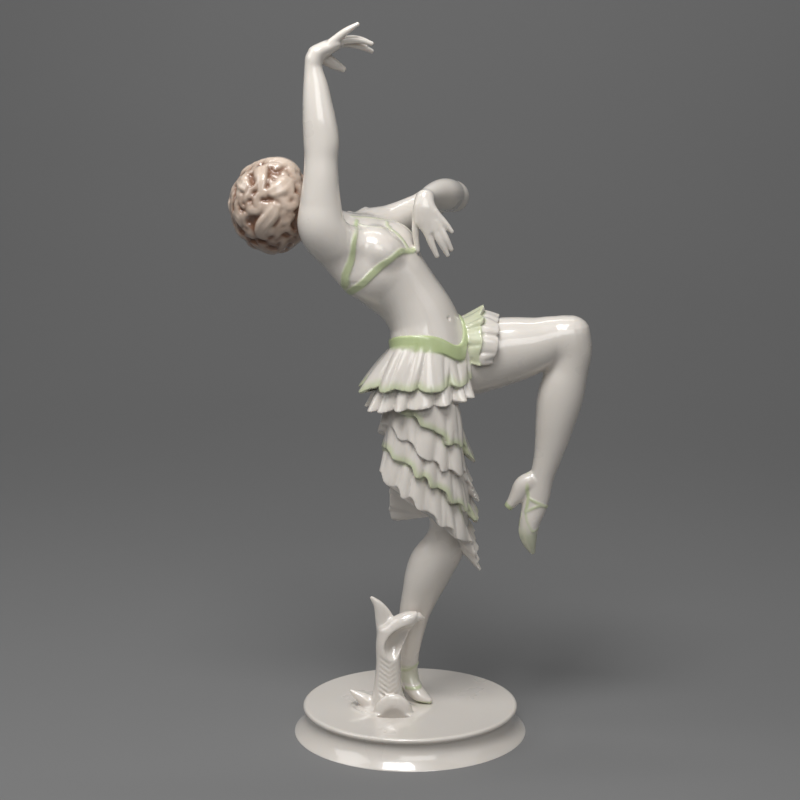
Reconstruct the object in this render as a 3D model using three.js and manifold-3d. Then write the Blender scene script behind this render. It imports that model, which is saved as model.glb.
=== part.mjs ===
// A glazed porcelain figurine of a dancer, cast and fired as one piece with its round base.
// She stands on her right leg, lifts the left knee, leans far back and turns her curly head away.
// Units are millimetres. +Z is up and +X is the way she faces.
// The origin is the centre of the base's underside.
// Every form is a closed surface of its own, and all of them are joined into one solid at the end.
import * as THREE from "three";
import { mergeVertices } from "three/addons/utils/BufferGeometryUtils.js";
import Module from "manifold-3d";

const wasm = await Module();
wasm.setup();

// Driving dimensions of the base, from the underside up. The rim is an arc between two turns.
const FOOT_RADIUS = 60;
const RIM_RADIUS = 54.8;
const NECK_RADIUS = 53;
const BASE_HEIGHT = 17.6;
const RIM_ROUND = 1.4;
const FOOT_ROUND = 1.5;
const FLARE_HOLLOW = 2.0;
const BASE_SEGMENTS = 36;
const FLARE_STEPS = 4;
const RIM_STEPS = 2;
const RIM_FROM = -Math.PI / 3;
const RIM_TO = Math.PI / 2;

// The dancer's frame: her hips and shoulders are turned this far from +X towards the viewer at -Y.
const TORSO_TURN = THREE.MathUtils.degToRad(28);
const LEFTWARDS = new THREE.Vector3(Math.sin(TORSO_TURN), Math.cos(TORSO_TURN), 0);
const ALONG_X = new THREE.Vector3(1, 0, 0);
const ALONG_Y = new THREE.Vector3(0, 1, 0);
const UP = new THREE.Vector3(0, 0, 1);
const DOWN = new THREE.Vector3(0, 0, -1);
const ORIGIN = new THREE.Vector3();

// How finely the forms are faceted.
const TORSO_SIDES = 12;
const LIMB_SIDES = 10;
const SLIM_SIDES = 8;
const FINGER_SIDES = 6;
const OVAL_SEGMENTS = 12;
const OVAL_RINGS = 8;
const SMALL_OVAL_SEGMENTS = 10;
const SMALL_OVAL_RINGS = 6;

// The end of a limb narrows to this share of its size, over that share of its half width.
const END_ROUND = 0.6;

// Each limb is a row of stations: centre x, y, z, then half its width along "across" and half its depth.
const TORSO = [
  [15, 4.5, 176, 12, 9],
  [14, 4.5, 184, 21, 16],
  [12.5, 4.5, 194, 24.5, 18],
  [8.6, 4, 206, 22.5, 17.6],
  [5, 4, 217, 19.8, 16.2],
  [-1.2, 4, 226.5, 19, 16.2],
  [-8, 4, 234.2, 20.5, 18],
  [-14.2, 3.5, 240.8, 23, 18.6],
  [-20.4, 3, 247.4, 24, 17],
  [-26.4, 2.4, 253.8, 22.4, 13.8],
  [-32, 2, 258.4, 17.4, 10],
  [-37, 3, 261, 9.5, 7.4],
];
const NECK = [
  [-33, 3.5, 258.5, 8.6, 9],
  [-40, 5, 264, 7, 7.8],
  [-48, 6.6, 268.2, 6.8, 7.4],
  [-57, 8, 271.5, 7.4, 8],
];
const RIGHT_ARM = [
  [-28.6, -10, 248, 9.6, 9],
  [-36.4, -15.6, 254, 11.2, 10.6],
  [-42.6, -20, 263.5, 11.6, 10.6],
  [-43.2, -20.5, 275, 9.9, 9.4],
  [-42.9, -20.5, 287, 8.5, 8.5],
  [-42.8, -20, 296, 8, 8],
  [-42.6, -20, 304, 8.5, 7.6],
  [-43.4, -19.3, 313, 8.1, 7.7],
  [-44.3, -18.8, 321, 7.2, 7],
  [-45.2, -18, 330, 6, 6],
  [-46.2, -17.3, 338, 4.4, 5],
  [-46.2, -17, 343, 3.8, 5],
  [-45.4, -17, 346, 3.2, 4.6],
];
const LEFT_UPPER_ARM = [
  [-27, 13, 255, 9.5, 9.5],
  [-20.4, 21.4, 258.4, 10, 9.8],
  [-10.4, 29, 260.8, 8.8, 8.8],
  [4, 36.4, 266.8, 7.5, 7.5],
  [16.4, 41, 272.4, 7.8, 7.8],
  [24, 43, 272.4, 6.2, 6.2],
];
const LEFT_FOREARM = [
  [21, 44, 274, 6.5, 6.5],
  [20, 37.6, 273.6, 8, 7.8],
  [16.5, 26, 275, 8, 7.8],
  [12, 14, 276, 6.3, 6],
  [8.4, 4, 276, 4.6, 4.4],
  [6.8, -1.5, 274.5, 4.6, 3.8],
];
const LEFT_THIGH = [
  [14, 9, 190, 14, 13],
  [26, 13, 192.2, 17.8, 15.5],
  [36, 15, 194.6, 18.1, 15.5],
  [46, 16, 196.8, 17.4, 15],
  [55, 16, 198.6, 16.1, 14.2],
  [64, 16, 200.7, 13.9, 12.8],
  [72, 16, 203, 12, 11],
  [80, 16, 204, 10.8, 10],
];
const LEFT_SHIN = [
  [80.3, 16, 207, 10.3, 9.6],
  [81, 16, 198, 11, 10],
  [79.6, 16, 188, 10.3, 9.6],
  [77.4, 16, 180, 11.4, 10],
  [75.5, 16, 172, 11.6, 10],
  [73.7, 16, 162, 10.3, 9.2],
  [72, 16, 152, 8.8, 7.8],
  [69.8, 16, 142, 7.1, 6.4],
  [67.1, 16, 132, 6.2, 5.4],
  [64.6, 15.6, 123, 6.9, 5],
  [62.9, 15.2, 115, 6.3, 5.2],
  [61.2, 15, 109, 5.4, 5.8],
  [60.4, 15, 103.5, 5, 5.6],
  [61.2, 15, 98, 3.7, 4.2],
  [62.8, 15, 92.8, 1.5, 1.8],
];
const LEFT_HEEL = [
  [63, 15.6, 131, 4.6, 4.4],
  [57.8, 15.4, 128, 4.8, 4.4],
  [54.9, 15.3, 123, 4.2, 3.8],
  [52, 15.1, 119, 2.9, 2.8],
  [49.8, 15, 116.4, 2.3, 2.3],
];
const RIGHT_LEG = [
  [5, -4, 196, 14, 13],
  [8.6, -6, 185, 16.5, 15.5],
  [10.6, -5.5, 170, 13.8, 14.4],
  [13.6, -4.5, 153, 12.2, 13],
  [17, -3, 136, 11.7, 11.8],
  [19.2, -1.5, 121, 10.8, 10.8],
  [19.2, -0.5, 109, 9.7, 10],
  [16.3, 0, 99, 10.9, 10.8],
  [11.3, 1, 91, 11.7, 11.2],
  [8.1, 2, 83, 11.1, 10.8],
  [5.5, 3, 75, 9.6, 9.6],
  [2.6, 4.5, 65, 8.1, 8],
  [0.8, 6, 55, 6.9, 6.6],
  [-0.8, 7.8, 44, 6, 5.6],
  [-1.6, 8.4, 37, 5.7, 5.6],
];
const RIGHT_FOOT = [
  [-2, 9, 39, 5, 5],
  [-1.4, 7.4, 31.5, 5, 5.6],
  [0.6, 4.4, 25.6, 4.7, 4.8],
  [3.6, 1.2, 22.2, 4.5, 4],
  [7, -1.6, 20.4, 3.8, 2.8],
  [10, -3.4, 19.2, 1.8, 1.5],
];
const RIGHT_HEEL = [
  [-1.8, 9, 33, 5, 5],
  [-4.6, 12.6, 28.5, 4.6, 5],
  [-5.6, 13.8, 22.5, 3, 3],
  [-5.8, 14.2, 16, 2.6, 2.6],
];

// The hands: a flat palm, then each finger as root, middle and tip with its radius.
const RIGHT_PALM = [
  [-45.8, -16.8, 342.6, 4.6, 3.6],
  [-43.4, -16.4, 346, 5.6, 3.9],
  [-39.4, -15.8, 348.2, 6.6, 3.7],
  [-35, -15.4, 350, 6.4, 3],
];
const RIGHT_FINGERS = [
  [[-37.5, -20, 350.6, 2.1], [-31.3, -20.8, 355.4, 1.8], [-25, -21.4, 359.4, 1.1]],
  [[-37, -17, 351, 2.1], [-25.5, -16.4, 352, 1.9], [-18.4, -15.6, 350, 1.1]],
  [[-37, -13.2, 350.6, 2.1], [-26, -12.4, 349.4, 1.8], [-18.4, -11.6, 346.4, 1.1]],
  [[-37.5, -10.2, 350, 2], [-28, -7.8, 350.2, 1.7], [-21.5, -6, 348.6, 1]],
  [[-43, -11.6, 345, 3.5], [-38, -9.6, 341.2, 2.9], [-32.2, -8, 337.8, 1.6]],
];
const LEFT_PALM = [
  [6.9, -0.8, 276.4, 4.2, 3.6],
  [6.7, -3.4, 272, 5.4, 3.4],
  [8.2, -4.2, 266.4, 6.2, 2.8],
  [11.4, -4.4, 260.8, 5.4, 2.2],
];
const LEFT_FINGERS = [
  [[6.6, -4, 265.5, 2.2], [9.6, -4.4, 255.4, 1.9], [13, -4, 247.6, 1.2]],
  [[10.4, -4.3, 264, 2.1], [14.2, -5.2, 255.4, 1.8], [18.2, -4.4, 248, 1.1]],
  [[12.6, -4.2, 264.4, 2.1], [17, -5, 256.4, 1.8], [20, -4.6, 250.8, 1.1]],
  [[11.4, -3.8, 269, 2.2], [17, -3.6, 263, 1.8], [20.2, -3.6, 259.4, 1.1]],
  [[3.4, -2.6, 270.5, 2.4], [2.4, -1.4, 259, 1.8], [3.6, -1.2, 250, 1.1]],
];

// The muscles that run from the near arm to the back and to the chest.
const SHOULDER_BLADE_SIDE = [
  [-38, -15, 250, 8, 8],
  [-31, -14, 243.5, 8, 8],
  [-24, -12, 235, 7.2, 7],
  [-15, -7, 225, 4.4, 4.4],
];
const CHEST_SIDE = [
  [-40, -19, 257, 8, 7],
  [-31, -14.6, 255, 8, 7],
  [-22, -9, 252, 6, 6],
];

// The breasts are ovals on the rib cage. Their half sizes run outwards, across the chest and along it.
const BREAST_OUT = new THREE.Vector3(0.6, -0.3, 0.74).normalize();
const CHEST_ALONG = new THREE.Vector3(-0.75, 0, 0.66);
const BREAST_HALF = [8.6, 11.4, 11.8];
const BREASTS = [
  [-14.6, -9.4, 252.2],
  [-7.4, 8, 252.8],
];

// The head lies back with its crown along CROWNWARDS and its face along FACING.
const HEAD_CENTRE = new THREE.Vector3(-66, 10, 272.6);
const CROWNWARDS = new THREE.Vector3(-0.985, 0.1, 0.06).normalize();
const FACING = new THREE.Vector3(0.1, 0.94, 0.3);
FACING.addScaledVector(CROWNWARDS, -FACING.dot(CROWNWARDS)).normalize();
const EARWARDS = new THREE.Vector3().crossVectors(FACING, CROWNWARDS);
const SKULL = { ear: 14.6, face: 17.6, crown: 20.4 };
const CHIN = { face: 11.4, crown: -15.4, radius: 5.2 };

// The nose runs from the brows to the tip: forward of the skull's front, to the crown, and its radius.
const NOSE = [
  { front: -2.4, crown: 1, radius: 1.6 },
  { front: -0.6, crown: -2.7, radius: 1.8 },
  { front: 0.9, crown: -6.4, radius: 2.1 },
];

// The hair is a ball of round curls, set back from the face, with the curls spread evenly over it.
const HAIR = { ear: 24, face: 19.8, crown: 21.6 };
const HAIR_BACK = 5.4;
const HAIR_UP = 1.4;
const HAIR_SEGMENTS = 20;
const HAIR_RINGS = 14;
const CURL_COUNT = 44;
const CURL_RELIEF = 2.8;

// The skirt is built of flounces.
// The short ones hang from the waist and are open where the left thigh is lifted.
const CLOTH = 1.4;
const STEPS_PER_FOLD = 3;
const INNER_FOLD = 0.3;
const WAIST_HALF = [17.6, 22];
const WAIST_CENTRE = new THREE.Vector3(8.8, 4, 0);
const WAIST_HEIGHT = 204;
const HIP_FOLDS = 9;

// Between its top and its hem a bell-shaped flounce passes through this level.
const BELL = { down: 0.52, wide: 0.42, fold: 0.5, inset: 0, up: 0 };
const HIP_FLOUNCES = [
  {
    at: new THREE.Vector3(2.4, 2.6, 0),
    half: [27, 25.8],
    height: 184.4,
    slope: 2.7,
    fold: 1.3,
    ripple: 1.4,
    hollow: 4,
    bell: BELL,
    arc: turns(-1.36, 0.1),
  },
  {
    at: new THREE.Vector3(5.2, 1.2, 0),
    half: [26.2, 24.2],
    height: 175,
    slope: 4.2,
    fold: 1.7,
    ripple: 1.5,
    hollow: 4,
    shift: 2,
    arc: turns(-1.34, 0.09),
  },
];

// The same two flounces stand round the root of the lifted thigh as a cuff, with the hem this far along +X.
const THIGH_CENTRE = new THREE.Vector3(0, 15, 198.4);
const THIGH_HALF = [15.8, 15.4];
const THIGH_CUFF = { folds: 8, rise: 10, fold: 1, ripple: 0.8, hollow: 2, arc: turns(-0.6, 0.72) };
const THIGH_FLOUNCES = [
  { half: [21.2, 19.6], height: 35.4, slope: 1.1 },
  { half: [17.6, 18.2], height: 41.6, slope: 2.1 },
];

// The hem of each long tier drops by "fall" for every millimetre to the right and by "back" to the back.
// Its corner hangs lower still, and so does the back of the last tier.
const TAIL_FOLDS = 10;
const TAIL_FOLD_DEPTH = 0.9;
const TAIL_RIPPLE = 0.9;
const TIER_SHIFT = 1.3;
const TAIL_CORNER = THREE.MathUtils.degToRad(14);
const TAIL_CENTRE = new THREE.Vector3(10, -0.5, 0);
const TAIL_TIERS = [
  { hem: 164, fall: 0.62, back: 0.3, half: [21.6, 18.6], corner: 2, tail: 0 },
  { hem: 150.8, fall: 0.62, back: 0.3, half: [22.8, 19.4], corner: 5, tail: 0 },
  { hem: 136, fall: 0.76, back: 0.36, half: [23, 20], corner: 4, tail: 0 },
  { hem: 121.6, fall: 0.82, back: 0.3, half: [24.2, 20.6], corner: 13, tail: 16 },
];
const TAIL_RISE = 23;
const TAIL_FLARE = 0.78;
const TAIL_HOLLOW = 14;
const TIER_HOLLOW = 3;
const CORNER_SHARPNESS = 12;
const BACK_LIMIT = 0.6;

// The leafy stump: stations as for the limbs, half width along x first, then half depth.
const STALK = [
  [-9.5, -9, 13, 12, 9],
  [-10.6, -9, 19, 9.6, 7.4],
  [-11.3, -9, 26, 7.6, 6.2],
  [-11.1, -9, 40, 6.3, 5.8],
  [-11.3, -9, 52, 6.1, 5.6],
  [-11.4, -9, 58, 5.2, 4.6],
];
const STANDING_LEAF = [
  [-11.8, -6.5, 46, 5.4, 4],
  [-12, -6.5, 58, 5.2, 3.2],
  [-13.5, -6.5, 65, 4.5, 2.4],
  [-16.2, -6.5, 71, 2.6, 1.8],
  [-19.6, -6.5, 75, 0.9, 0.9],
];
const CURLED_LEAF = [
  [-10.6, -9, 44, 5.4, 5.2],
  [-9.6, -9, 51, 5.6, 5.6],
  [-7.3, -9, 58, 6.6, 5.4],
  [-1.6, -8.6, 63.6, 4.8, 4.8],
  [3.4, -8.2, 65.5, 2.6, 3.2],
  [7, -8, 64.4, 0.8, 0.9],
];
// The near side of the curled leaf is hollow. The leaf in front is an oval: its centre and its half sizes.
const LEAF_HOLLOW = [
  [-8, -16.8, 44.6, 3, 3],
  [-8.4, -16, 50.6, 4.9, 7.4],
  [-5.2, -16, 55.6, 4.9, 8.2],
  [0.4, -15.6, 59.4, 3.8, 7.8],
  [4.8, -15, 61.4, 2.2, 6],
  [8.4, -14.4, 62.4, 1.4, 5],
];
const FRONT_LEAF = { centre: [-8.6, -16.2, 14.8], half: [10.4, 3.6, 12.8] };
const SIDE_LEAF = [
  [-16, -7, 15, 5.4, 5],
  [-21, -6.8, 19.6, 4, 4.2],
  [-25.6, -6.4, 22.6, 2.8, 3.2],
  [-30.6, -6, 25.8, 0.7, 0.8],
];

const GLAZE_COLOUR = 0xf1ebe4;
const GLAZE_ROUGHNESS = 0.12;

function turns(from, to) {
  return [from * Math.PI, to * Math.PI];
}

function point(row) {
  return new THREE.Vector3(row[0], row[1], row[2]);
}

// Turns a closed, indexed surface into a solid: its shared vertices are merged and its faces turned outwards.
function solid(geometry) {
  const bare = geometry.clone();
  bare.deleteAttribute("normal");
  bare.deleteAttribute("uv");
  const merged = mergeVertices(bare, 1e-4);
  const vertProperties = merged.attributes.position.array;
  const made = (triVerts) => new wasm.Manifold(new wasm.Mesh({ numProp: 3, vertProperties, triVerts }));
  const triVerts = new Uint32Array(merged.index.array);
  const outward = made(triVerts);
  return outward.volume() > 0 ? outward : made(triVerts.reverse());
}

// A closed surface over rings of points that run along a form. Each end is closed on its own middle.
function skin(rings) {
  const around = rings[0].length;
  const positions = rings.flat().flatMap((p) => [p.x, p.y, p.z]);
  const faces = [];
  for (let i = 0; i < rings.length - 1; i++) {
    const a = i * around;
    const b = a + around;
    for (let j = 0; j < around; j++) {
      const k = (j + 1) % around;
      faces.push(a + j, a + k, b + k, a + j, b + k, b + j);
    }
  }
  const last = (rings.length - 1) * around;
  const ends = [
    [0, rings[0], false],
    [last, rings[rings.length - 1], true],
  ];
  for (const [start, ring, outward] of ends) {
    const middle = ring.reduce((sum, p) => sum.add(p), new THREE.Vector3()).divideScalar(around);
    const hub = positions.length / 3;
    positions.push(middle.x, middle.y, middle.z);
    for (let j = 0; j < around; j++) {
      const k = (j + 1) % around;
      faces.push(hub, start + (outward ? j : k), start + (outward ? k : j));
    }
  }
  const geometry = new THREE.BufferGeometry();
  geometry.setAttribute("position", new THREE.Float32BufferAttribute(positions, 3));
  geometry.setIndex(faces);
  return geometry;
}

// A limb of oval section through its stations, with a rounded end beyond the first and the last.
function limb(stations, across, sides = LIMB_SIDES) {
  const line = new THREE.CatmullRomCurve3(stations.map(point), false, "centripetal");
  const rings = [];
  const ring = (centre, tangent, half, share) => {
    const side = across.clone().addScaledVector(tangent, -across.dot(tangent)).normalize();
    const deep = new THREE.Vector3().crossVectors(tangent, side);
    const points = [];
    for (let j = 0; j < sides; j++) {
      const turn = (2 * Math.PI * j) / sides;
      const spot = centre.clone().addScaledVector(side, half[0] * share * Math.cos(turn));
      points.push(spot.addScaledVector(deep, half[1] * share * Math.sin(turn)));
    }
    rings.push(points);
  };
  stations.forEach((station, i) => {
    const t = i / (stations.length - 1);
    const centre = line.getPoint(t);
    const tangent = line.getTangent(t);
    const half = station.slice(3);
    const dome = Math.min(...half) * END_ROUND;
    if (i === 0) ring(centre.clone().addScaledVector(tangent, -dome), tangent, half, END_ROUND);
    ring(centre, tangent, half, 1);
    const ends = i === stations.length - 1;
    if (ends) ring(centre.clone().addScaledVector(tangent, dome), tangent, half, END_ROUND);
  });
  return solid(skin(rings));
}

function finger(joints, across) {
  const stations = joints.map(([x, y, z, r]) => [x, y, z, r, r]);
  return limb(stations, across, FINGER_SIDES);
}

// An ovoid with its own three axes.
function ovoid(centre, half, axes, segments = OVAL_SEGMENTS, rings = OVAL_RINGS) {
  const ball = new THREE.SphereGeometry(1, segments, rings);
  const frame = new THREE.Matrix4().makeBasis(...axes);
  frame.scale(new THREE.Vector3(...half)).setPosition(centre);
  return solid(ball.applyMatrix4(frame));
}

function smallOvoid(centre, half, axes) {
  return ovoid(centre, half, axes, SMALL_OVAL_SEGMENTS, SMALL_OVAL_RINGS);
}

function base() {
  const profile = [new THREE.Vector2(0, 0)];
  profile.push(new THREE.Vector2(FOOT_RADIUS - FOOT_ROUND, 0), new THREE.Vector2(FOOT_RADIUS, FOOT_ROUND));
  const flareTop = BASE_HEIGHT - 2 * RIM_ROUND;
  for (let i = 1; i <= FLARE_STEPS; i++) {
    const t = i / FLARE_STEPS;
    const radius = THREE.MathUtils.lerp(FOOT_RADIUS, NECK_RADIUS, t);
    const height = THREE.MathUtils.lerp(2 * FOOT_ROUND, flareTop, t);
    profile.push(new THREE.Vector2(radius - FLARE_HOLLOW * Math.sin(Math.PI * t), height));
  }
  for (let i = 0; i <= RIM_STEPS; i++) {
    const turn = THREE.MathUtils.lerp(RIM_FROM, RIM_TO, i / RIM_STEPS);
    const radius = RIM_RADIUS - RIM_ROUND + RIM_ROUND * Math.cos(turn);
    profile.push(new THREE.Vector2(radius, BASE_HEIGHT - RIM_ROUND + RIM_ROUND * Math.sin(turn)));
  }
  profile.push(new THREE.Vector2(0, BASE_HEIGHT));
  const turned = new THREE.LatheGeometry(profile, BASE_SEGMENTS);
  return solid(turned.rotateX(Math.PI / 2));
}

// A pleated flounce, solid down to the body that it hangs on and hollow under its hem.
// u and v span its section and "along" runs down it. "waist" and "half" are its half sizes at the top and the
// hem, "sway" is how far the top's middle lies from the hem's, and hem(turn) says how far along the hem is.
function flounce(f) {
  const full = !f.arc;
  const [from, to] = f.arc ?? [0, 2 * Math.PI];
  const steps = f.folds * STEPS_PER_FOLD;
  const count = full ? steps : steps + 1;
  const wave = (j) => Math.cos((2 * Math.PI * j) / STEPS_PER_FOLD + (f.shift ?? 0));
  const levels = [
    { down: 0, wide: 0, fold: 0, inset: 0, up: 0 },
    ...(f.bell ? [f.bell] : []),
    { down: 1, wide: 1, fold: 1, inset: 0, up: 0 },
    { down: 1, wide: 1, fold: 1, inset: CLOTH, up: 0 },
    { down: 1, wide: 1, fold: INNER_FOLD, inset: CLOTH + f.hollow / 2, up: f.hollow },
  ];
  const rings = levels.map((level) => {
    const across = f.waist.map((w, i) => THREE.MathUtils.lerp(w, f.half[i], level.wide));
    const middle = f.at.clone().addScaledVector(f.sway ?? ORIGIN, 1 - level.wide);
    const reach = (turn, ripple) => f.hem(turn) - ripple - f.rise * (1 - level.down) - level.up;
    const ring = [];
    for (let j = 0; j < count; j++) {
      const turn = THREE.MathUtils.lerp(from, to, j / steps);
      const out = level.fold * f.fold * wave(j) - level.inset;
      const spot = middle.clone().addScaledVector(f.u, (across[0] + out) * Math.cos(turn));
      spot.addScaledVector(f.v, (across[1] + out) * Math.sin(turn));
      ring.push(spot.addScaledVector(f.along, reach(turn, f.ripple * level.down * wave(j))));
    }
    if (!full) ring.push(middle.clone().addScaledVector(f.along, reach((from + to) / 2, 0)));
    return ring;
  });
  return solid(skin(rings));
}

// The place of a point given along the head's own ear, face and crown directions.
function onHead(ear, face, crown) {
  return HEAD_CENTRE.clone()
    .addScaledVector(EARWARDS, ear)
    .addScaledVector(FACING, face)
    .addScaledVector(CROWNWARDS, crown);
}

// Directions spread evenly over a ball, by the golden angle.
function spread(count) {
  const golden = Math.PI * (3 - Math.sqrt(5));
  return Array.from({ length: count }, (_, i) => {
    const height = 1 - (2 * i + 1) / count;
    const ring = Math.sqrt(1 - height * height);
    return new THREE.Vector3(ring * Math.cos(golden * i), ring * Math.sin(golden * i), height);
  });
}

function hair() {
  const curls = spread(CURL_COUNT);
  const reach = Math.sqrt((2 * Math.PI) / CURL_COUNT);
  const ball = new THREE.SphereGeometry(1, HAIR_SEGMENTS, HAIR_RINGS);
  const place = ball.attributes.position;
  const at = new THREE.Vector3();
  for (let i = 0; i < place.count; i++) {
    at.fromBufferAttribute(place, i);
    const nearest = Math.min(...curls.map((c) => c.distanceTo(at)));
    const lift = CURL_RELIEF * (1 - Math.min(1, nearest / reach) ** 2);
    const spot = onHead(
      at.x * (HAIR.ear + lift - CURL_RELIEF / 2),
      at.y * (HAIR.face + lift - CURL_RELIEF / 2) - HAIR_BACK,
      at.z * (HAIR.crown + lift - CURL_RELIEF / 2) + HAIR_UP,
    );
    place.setXYZ(i, spot.x, spot.y, spot.z);
  }
  return solid(ball);
}

function head() {
  const axes = [EARWARDS, FACING, CROWNWARDS];
  const skull = ovoid(HEAD_CENTRE, [SKULL.ear, SKULL.face, SKULL.crown], axes);
  const round = [CHIN.radius, CHIN.radius, CHIN.radius];
  const chin = smallOvoid(onHead(0, CHIN.face, CHIN.crown), round, axes);
  const nose = NOSE.map(({ front, crown, radius }) => {
    const spot = onHead(0, SKULL.face + front, crown);
    return [spot.x, spot.y, spot.z, radius, radius];
  });
  return [skull, chin, limb(nose, EARWARDS, SLIM_SIDES), hair()];
}

function breasts() {
  const side = new THREE.Vector3().crossVectors(BREAST_OUT, CHEST_ALONG).normalize();
  const axes = [BREAST_OUT, side, new THREE.Vector3().crossVectors(BREAST_OUT, side)];
  return BREASTS.map((centre) => smallOvoid(point(centre), BREAST_HALF, axes));
}

// The two short flounces round the standing hip, and the same two round the root of the lifted thigh.
function peplum() {
  const forward = new THREE.Vector3().crossVectors(LEFTWARDS, UP);
  const hips = HIP_FLOUNCES.map((own) =>
    flounce({
      ...own,
      sway: WAIST_CENTRE.clone().sub(own.at),
      u: forward,
      v: LEFTWARDS,
      along: DOWN,
      folds: HIP_FOLDS,
      waist: WAIST_HALF,
      rise: WAIST_HEIGHT - own.height,
      hem: (turn) => -own.height - own.slope * Math.cos(turn),
    }),
  );
  const thighs = THIGH_FLOUNCES.map((own) =>
    flounce({
      ...THIGH_CUFF,
      ...own,
      at: THIGH_CENTRE,
      u: UP,
      v: ALONG_Y,
      along: ALONG_X,
      waist: THIGH_HALF,
      hem: (turn) => own.height + own.slope * Math.cos(turn),
    }),
  );
  return [...hips, ...thighs];
}

// The hem of a long tier falls to the right, and more to its corner and, in the last tier, to the back.
function tailHem(tier, turn) {
  const right = Math.cos(turn);
  const away = Math.sin(turn);
  const corner = tier.corner * Math.max(0, Math.cos(turn - TAIL_CORNER)) ** CORNER_SHARPNESS;
  const behind = tier.tail * Math.max(0, away) * Math.max(0, BACK_LIMIT - right);
  const slope = tier.fall * tier.half[0] * right + tier.back * tier.half[1] * away;
  return slope + corner + behind - tier.hem;
}

function tail() {
  return TAIL_TIERS.map((tier, i) =>
    flounce({
      at: TAIL_CENTRE,
      u: ALONG_X,
      v: ALONG_Y,
      along: DOWN,
      half: tier.half,
      waist: tier.half.map((size) => size * TAIL_FLARE),
      rise: TAIL_RISE,
      folds: TAIL_FOLDS,
      fold: TAIL_FOLD_DEPTH,
      ripple: TAIL_RIPPLE,
      hollow: i === TAIL_TIERS.length - 1 ? TAIL_HOLLOW : TIER_HOLLOW,
      shift: i * TIER_SHIFT,
      hem: (turn) => tailHem(tier, turn),
    }),
  );
}

function stump() {
  const axes = [ALONG_X, ALONG_Y, UP];
  const leaves = [STALK, STANDING_LEAF, SIDE_LEAF].map((leaf) => limb(leaf, ALONG_X, SLIM_SIDES));
  const curled = limb(CURLED_LEAF, ALONG_X, SLIM_SIDES);
  const front = ovoid(point(FRONT_LEAF.centre), FRONT_LEAF.half, axes);
  const whole = [...leaves, curled].reduce((sum, next) => sum.add(next));
  return [whole.subtract(limb(LEAF_HOLLOW, ALONG_X, SLIM_SIDES)), front];
}

// The outer surface of a solid, so that pockets closed in between its forms are filled with porcelain.
function outerSkin(whole) {
  const { vertProperties, triVerts } = whole.getMesh();
  const owner = Array.from({ length: vertProperties.length / 3 }, (_, i) => i);
  const find = (i) => {
    while (owner[i] !== i) {
      owner[i] = owner[owner[i]];
      i = owner[i];
    }
    return i;
  };
  for (let t = 0; t < triVerts.length; t += 3) {
    owner[find(triVerts[t + 1])] = find(triVerts[t]);
    owner[find(triVerts[t + 2])] = find(triVerts[t]);
  }
  const shells = new Map();
  for (let t = 0; t < triVerts.length; t += 3) {
    const shell = find(triVerts[t]);
    if (!shells.has(shell)) shells.set(shell, []);
    shells.get(shell).push(triVerts[t], triVerts[t + 1], triVerts[t + 2]);
  }
  const outer = [...shells.values()].sort((a, b) => b.length - a.length)[0];
  const geometry = new THREE.BufferGeometry();
  geometry.setAttribute("position", new THREE.BufferAttribute(new Float32Array(vertProperties), 3));
  geometry.setIndex(outer);
  return geometry;
}

const parts = [
  base(),
  limb(TORSO, LEFTWARDS, TORSO_SIDES),
  limb(NECK, UP, SLIM_SIDES),
  limb(SHOULDER_BLADE_SIDE, ALONG_Y),
  limb(CHEST_SIDE, UP),
  ...breasts(),
  ...head(),
  limb(RIGHT_ARM, ALONG_X),
  limb(LEFT_UPPER_ARM, UP),
  limb(LEFT_FOREARM, UP),
  limb(LEFT_THIGH, UP),
  limb(LEFT_SHIN, ALONG_X),
  limb(LEFT_HEEL, ALONG_X, SLIM_SIDES),
  limb(RIGHT_LEG, ALONG_X),
  limb(RIGHT_FOOT, LEFTWARDS),
  limb(RIGHT_HEEL, ALONG_X, SLIM_SIDES),
  limb(RIGHT_PALM, ALONG_Y, SLIM_SIDES),
  ...RIGHT_FINGERS.map((f) => finger(f, ALONG_Y)),
  limb(LEFT_PALM, ALONG_X, SLIM_SIDES),
  ...LEFT_FINGERS.map((f) => finger(f, ALONG_X)),
  ...peplum(),
  ...tail(),
  ...stump(),
];
const geometry = outerSkin(parts.reduce((sum, next) => sum.add(next)));
const glaze = new THREE.MeshStandardMaterial({
  color: GLAZE_COLOUR,
  roughness: GLAZE_ROUGHNESS,
  metalness: 0,
});
const figurine = new THREE.Mesh(geometry, glaze);
figurine.name = "dancer_figurine";
const group = new THREE.Group();
group.add(figurine);
export default group;
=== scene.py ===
"""Looks of the porcelain dancer figurine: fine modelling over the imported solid, painted and glazed.

Each piece is modelled like clay. Simple closed forms are turned into distances on a block of voxels, blended
softly into each other and cut, and the result is meshed. Modelling sizes are in millimetres, in the frame's
own axes: X to the right of the picture, Y away from the camera and Z up.
"""

import math

import bpy
import numpy as np
import openvdb as vdb
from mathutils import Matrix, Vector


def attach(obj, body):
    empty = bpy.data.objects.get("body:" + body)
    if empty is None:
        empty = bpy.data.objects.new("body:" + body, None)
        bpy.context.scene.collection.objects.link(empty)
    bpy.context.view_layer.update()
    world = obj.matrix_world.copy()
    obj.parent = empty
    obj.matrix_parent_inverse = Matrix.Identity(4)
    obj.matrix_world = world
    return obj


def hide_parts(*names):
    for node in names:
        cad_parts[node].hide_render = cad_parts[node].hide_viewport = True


MM = 0.001
TURN = 2 * math.pi

# The clay knows its distances only up to BAND.
BAND = 4.2
COARSE = 1.0

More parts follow.
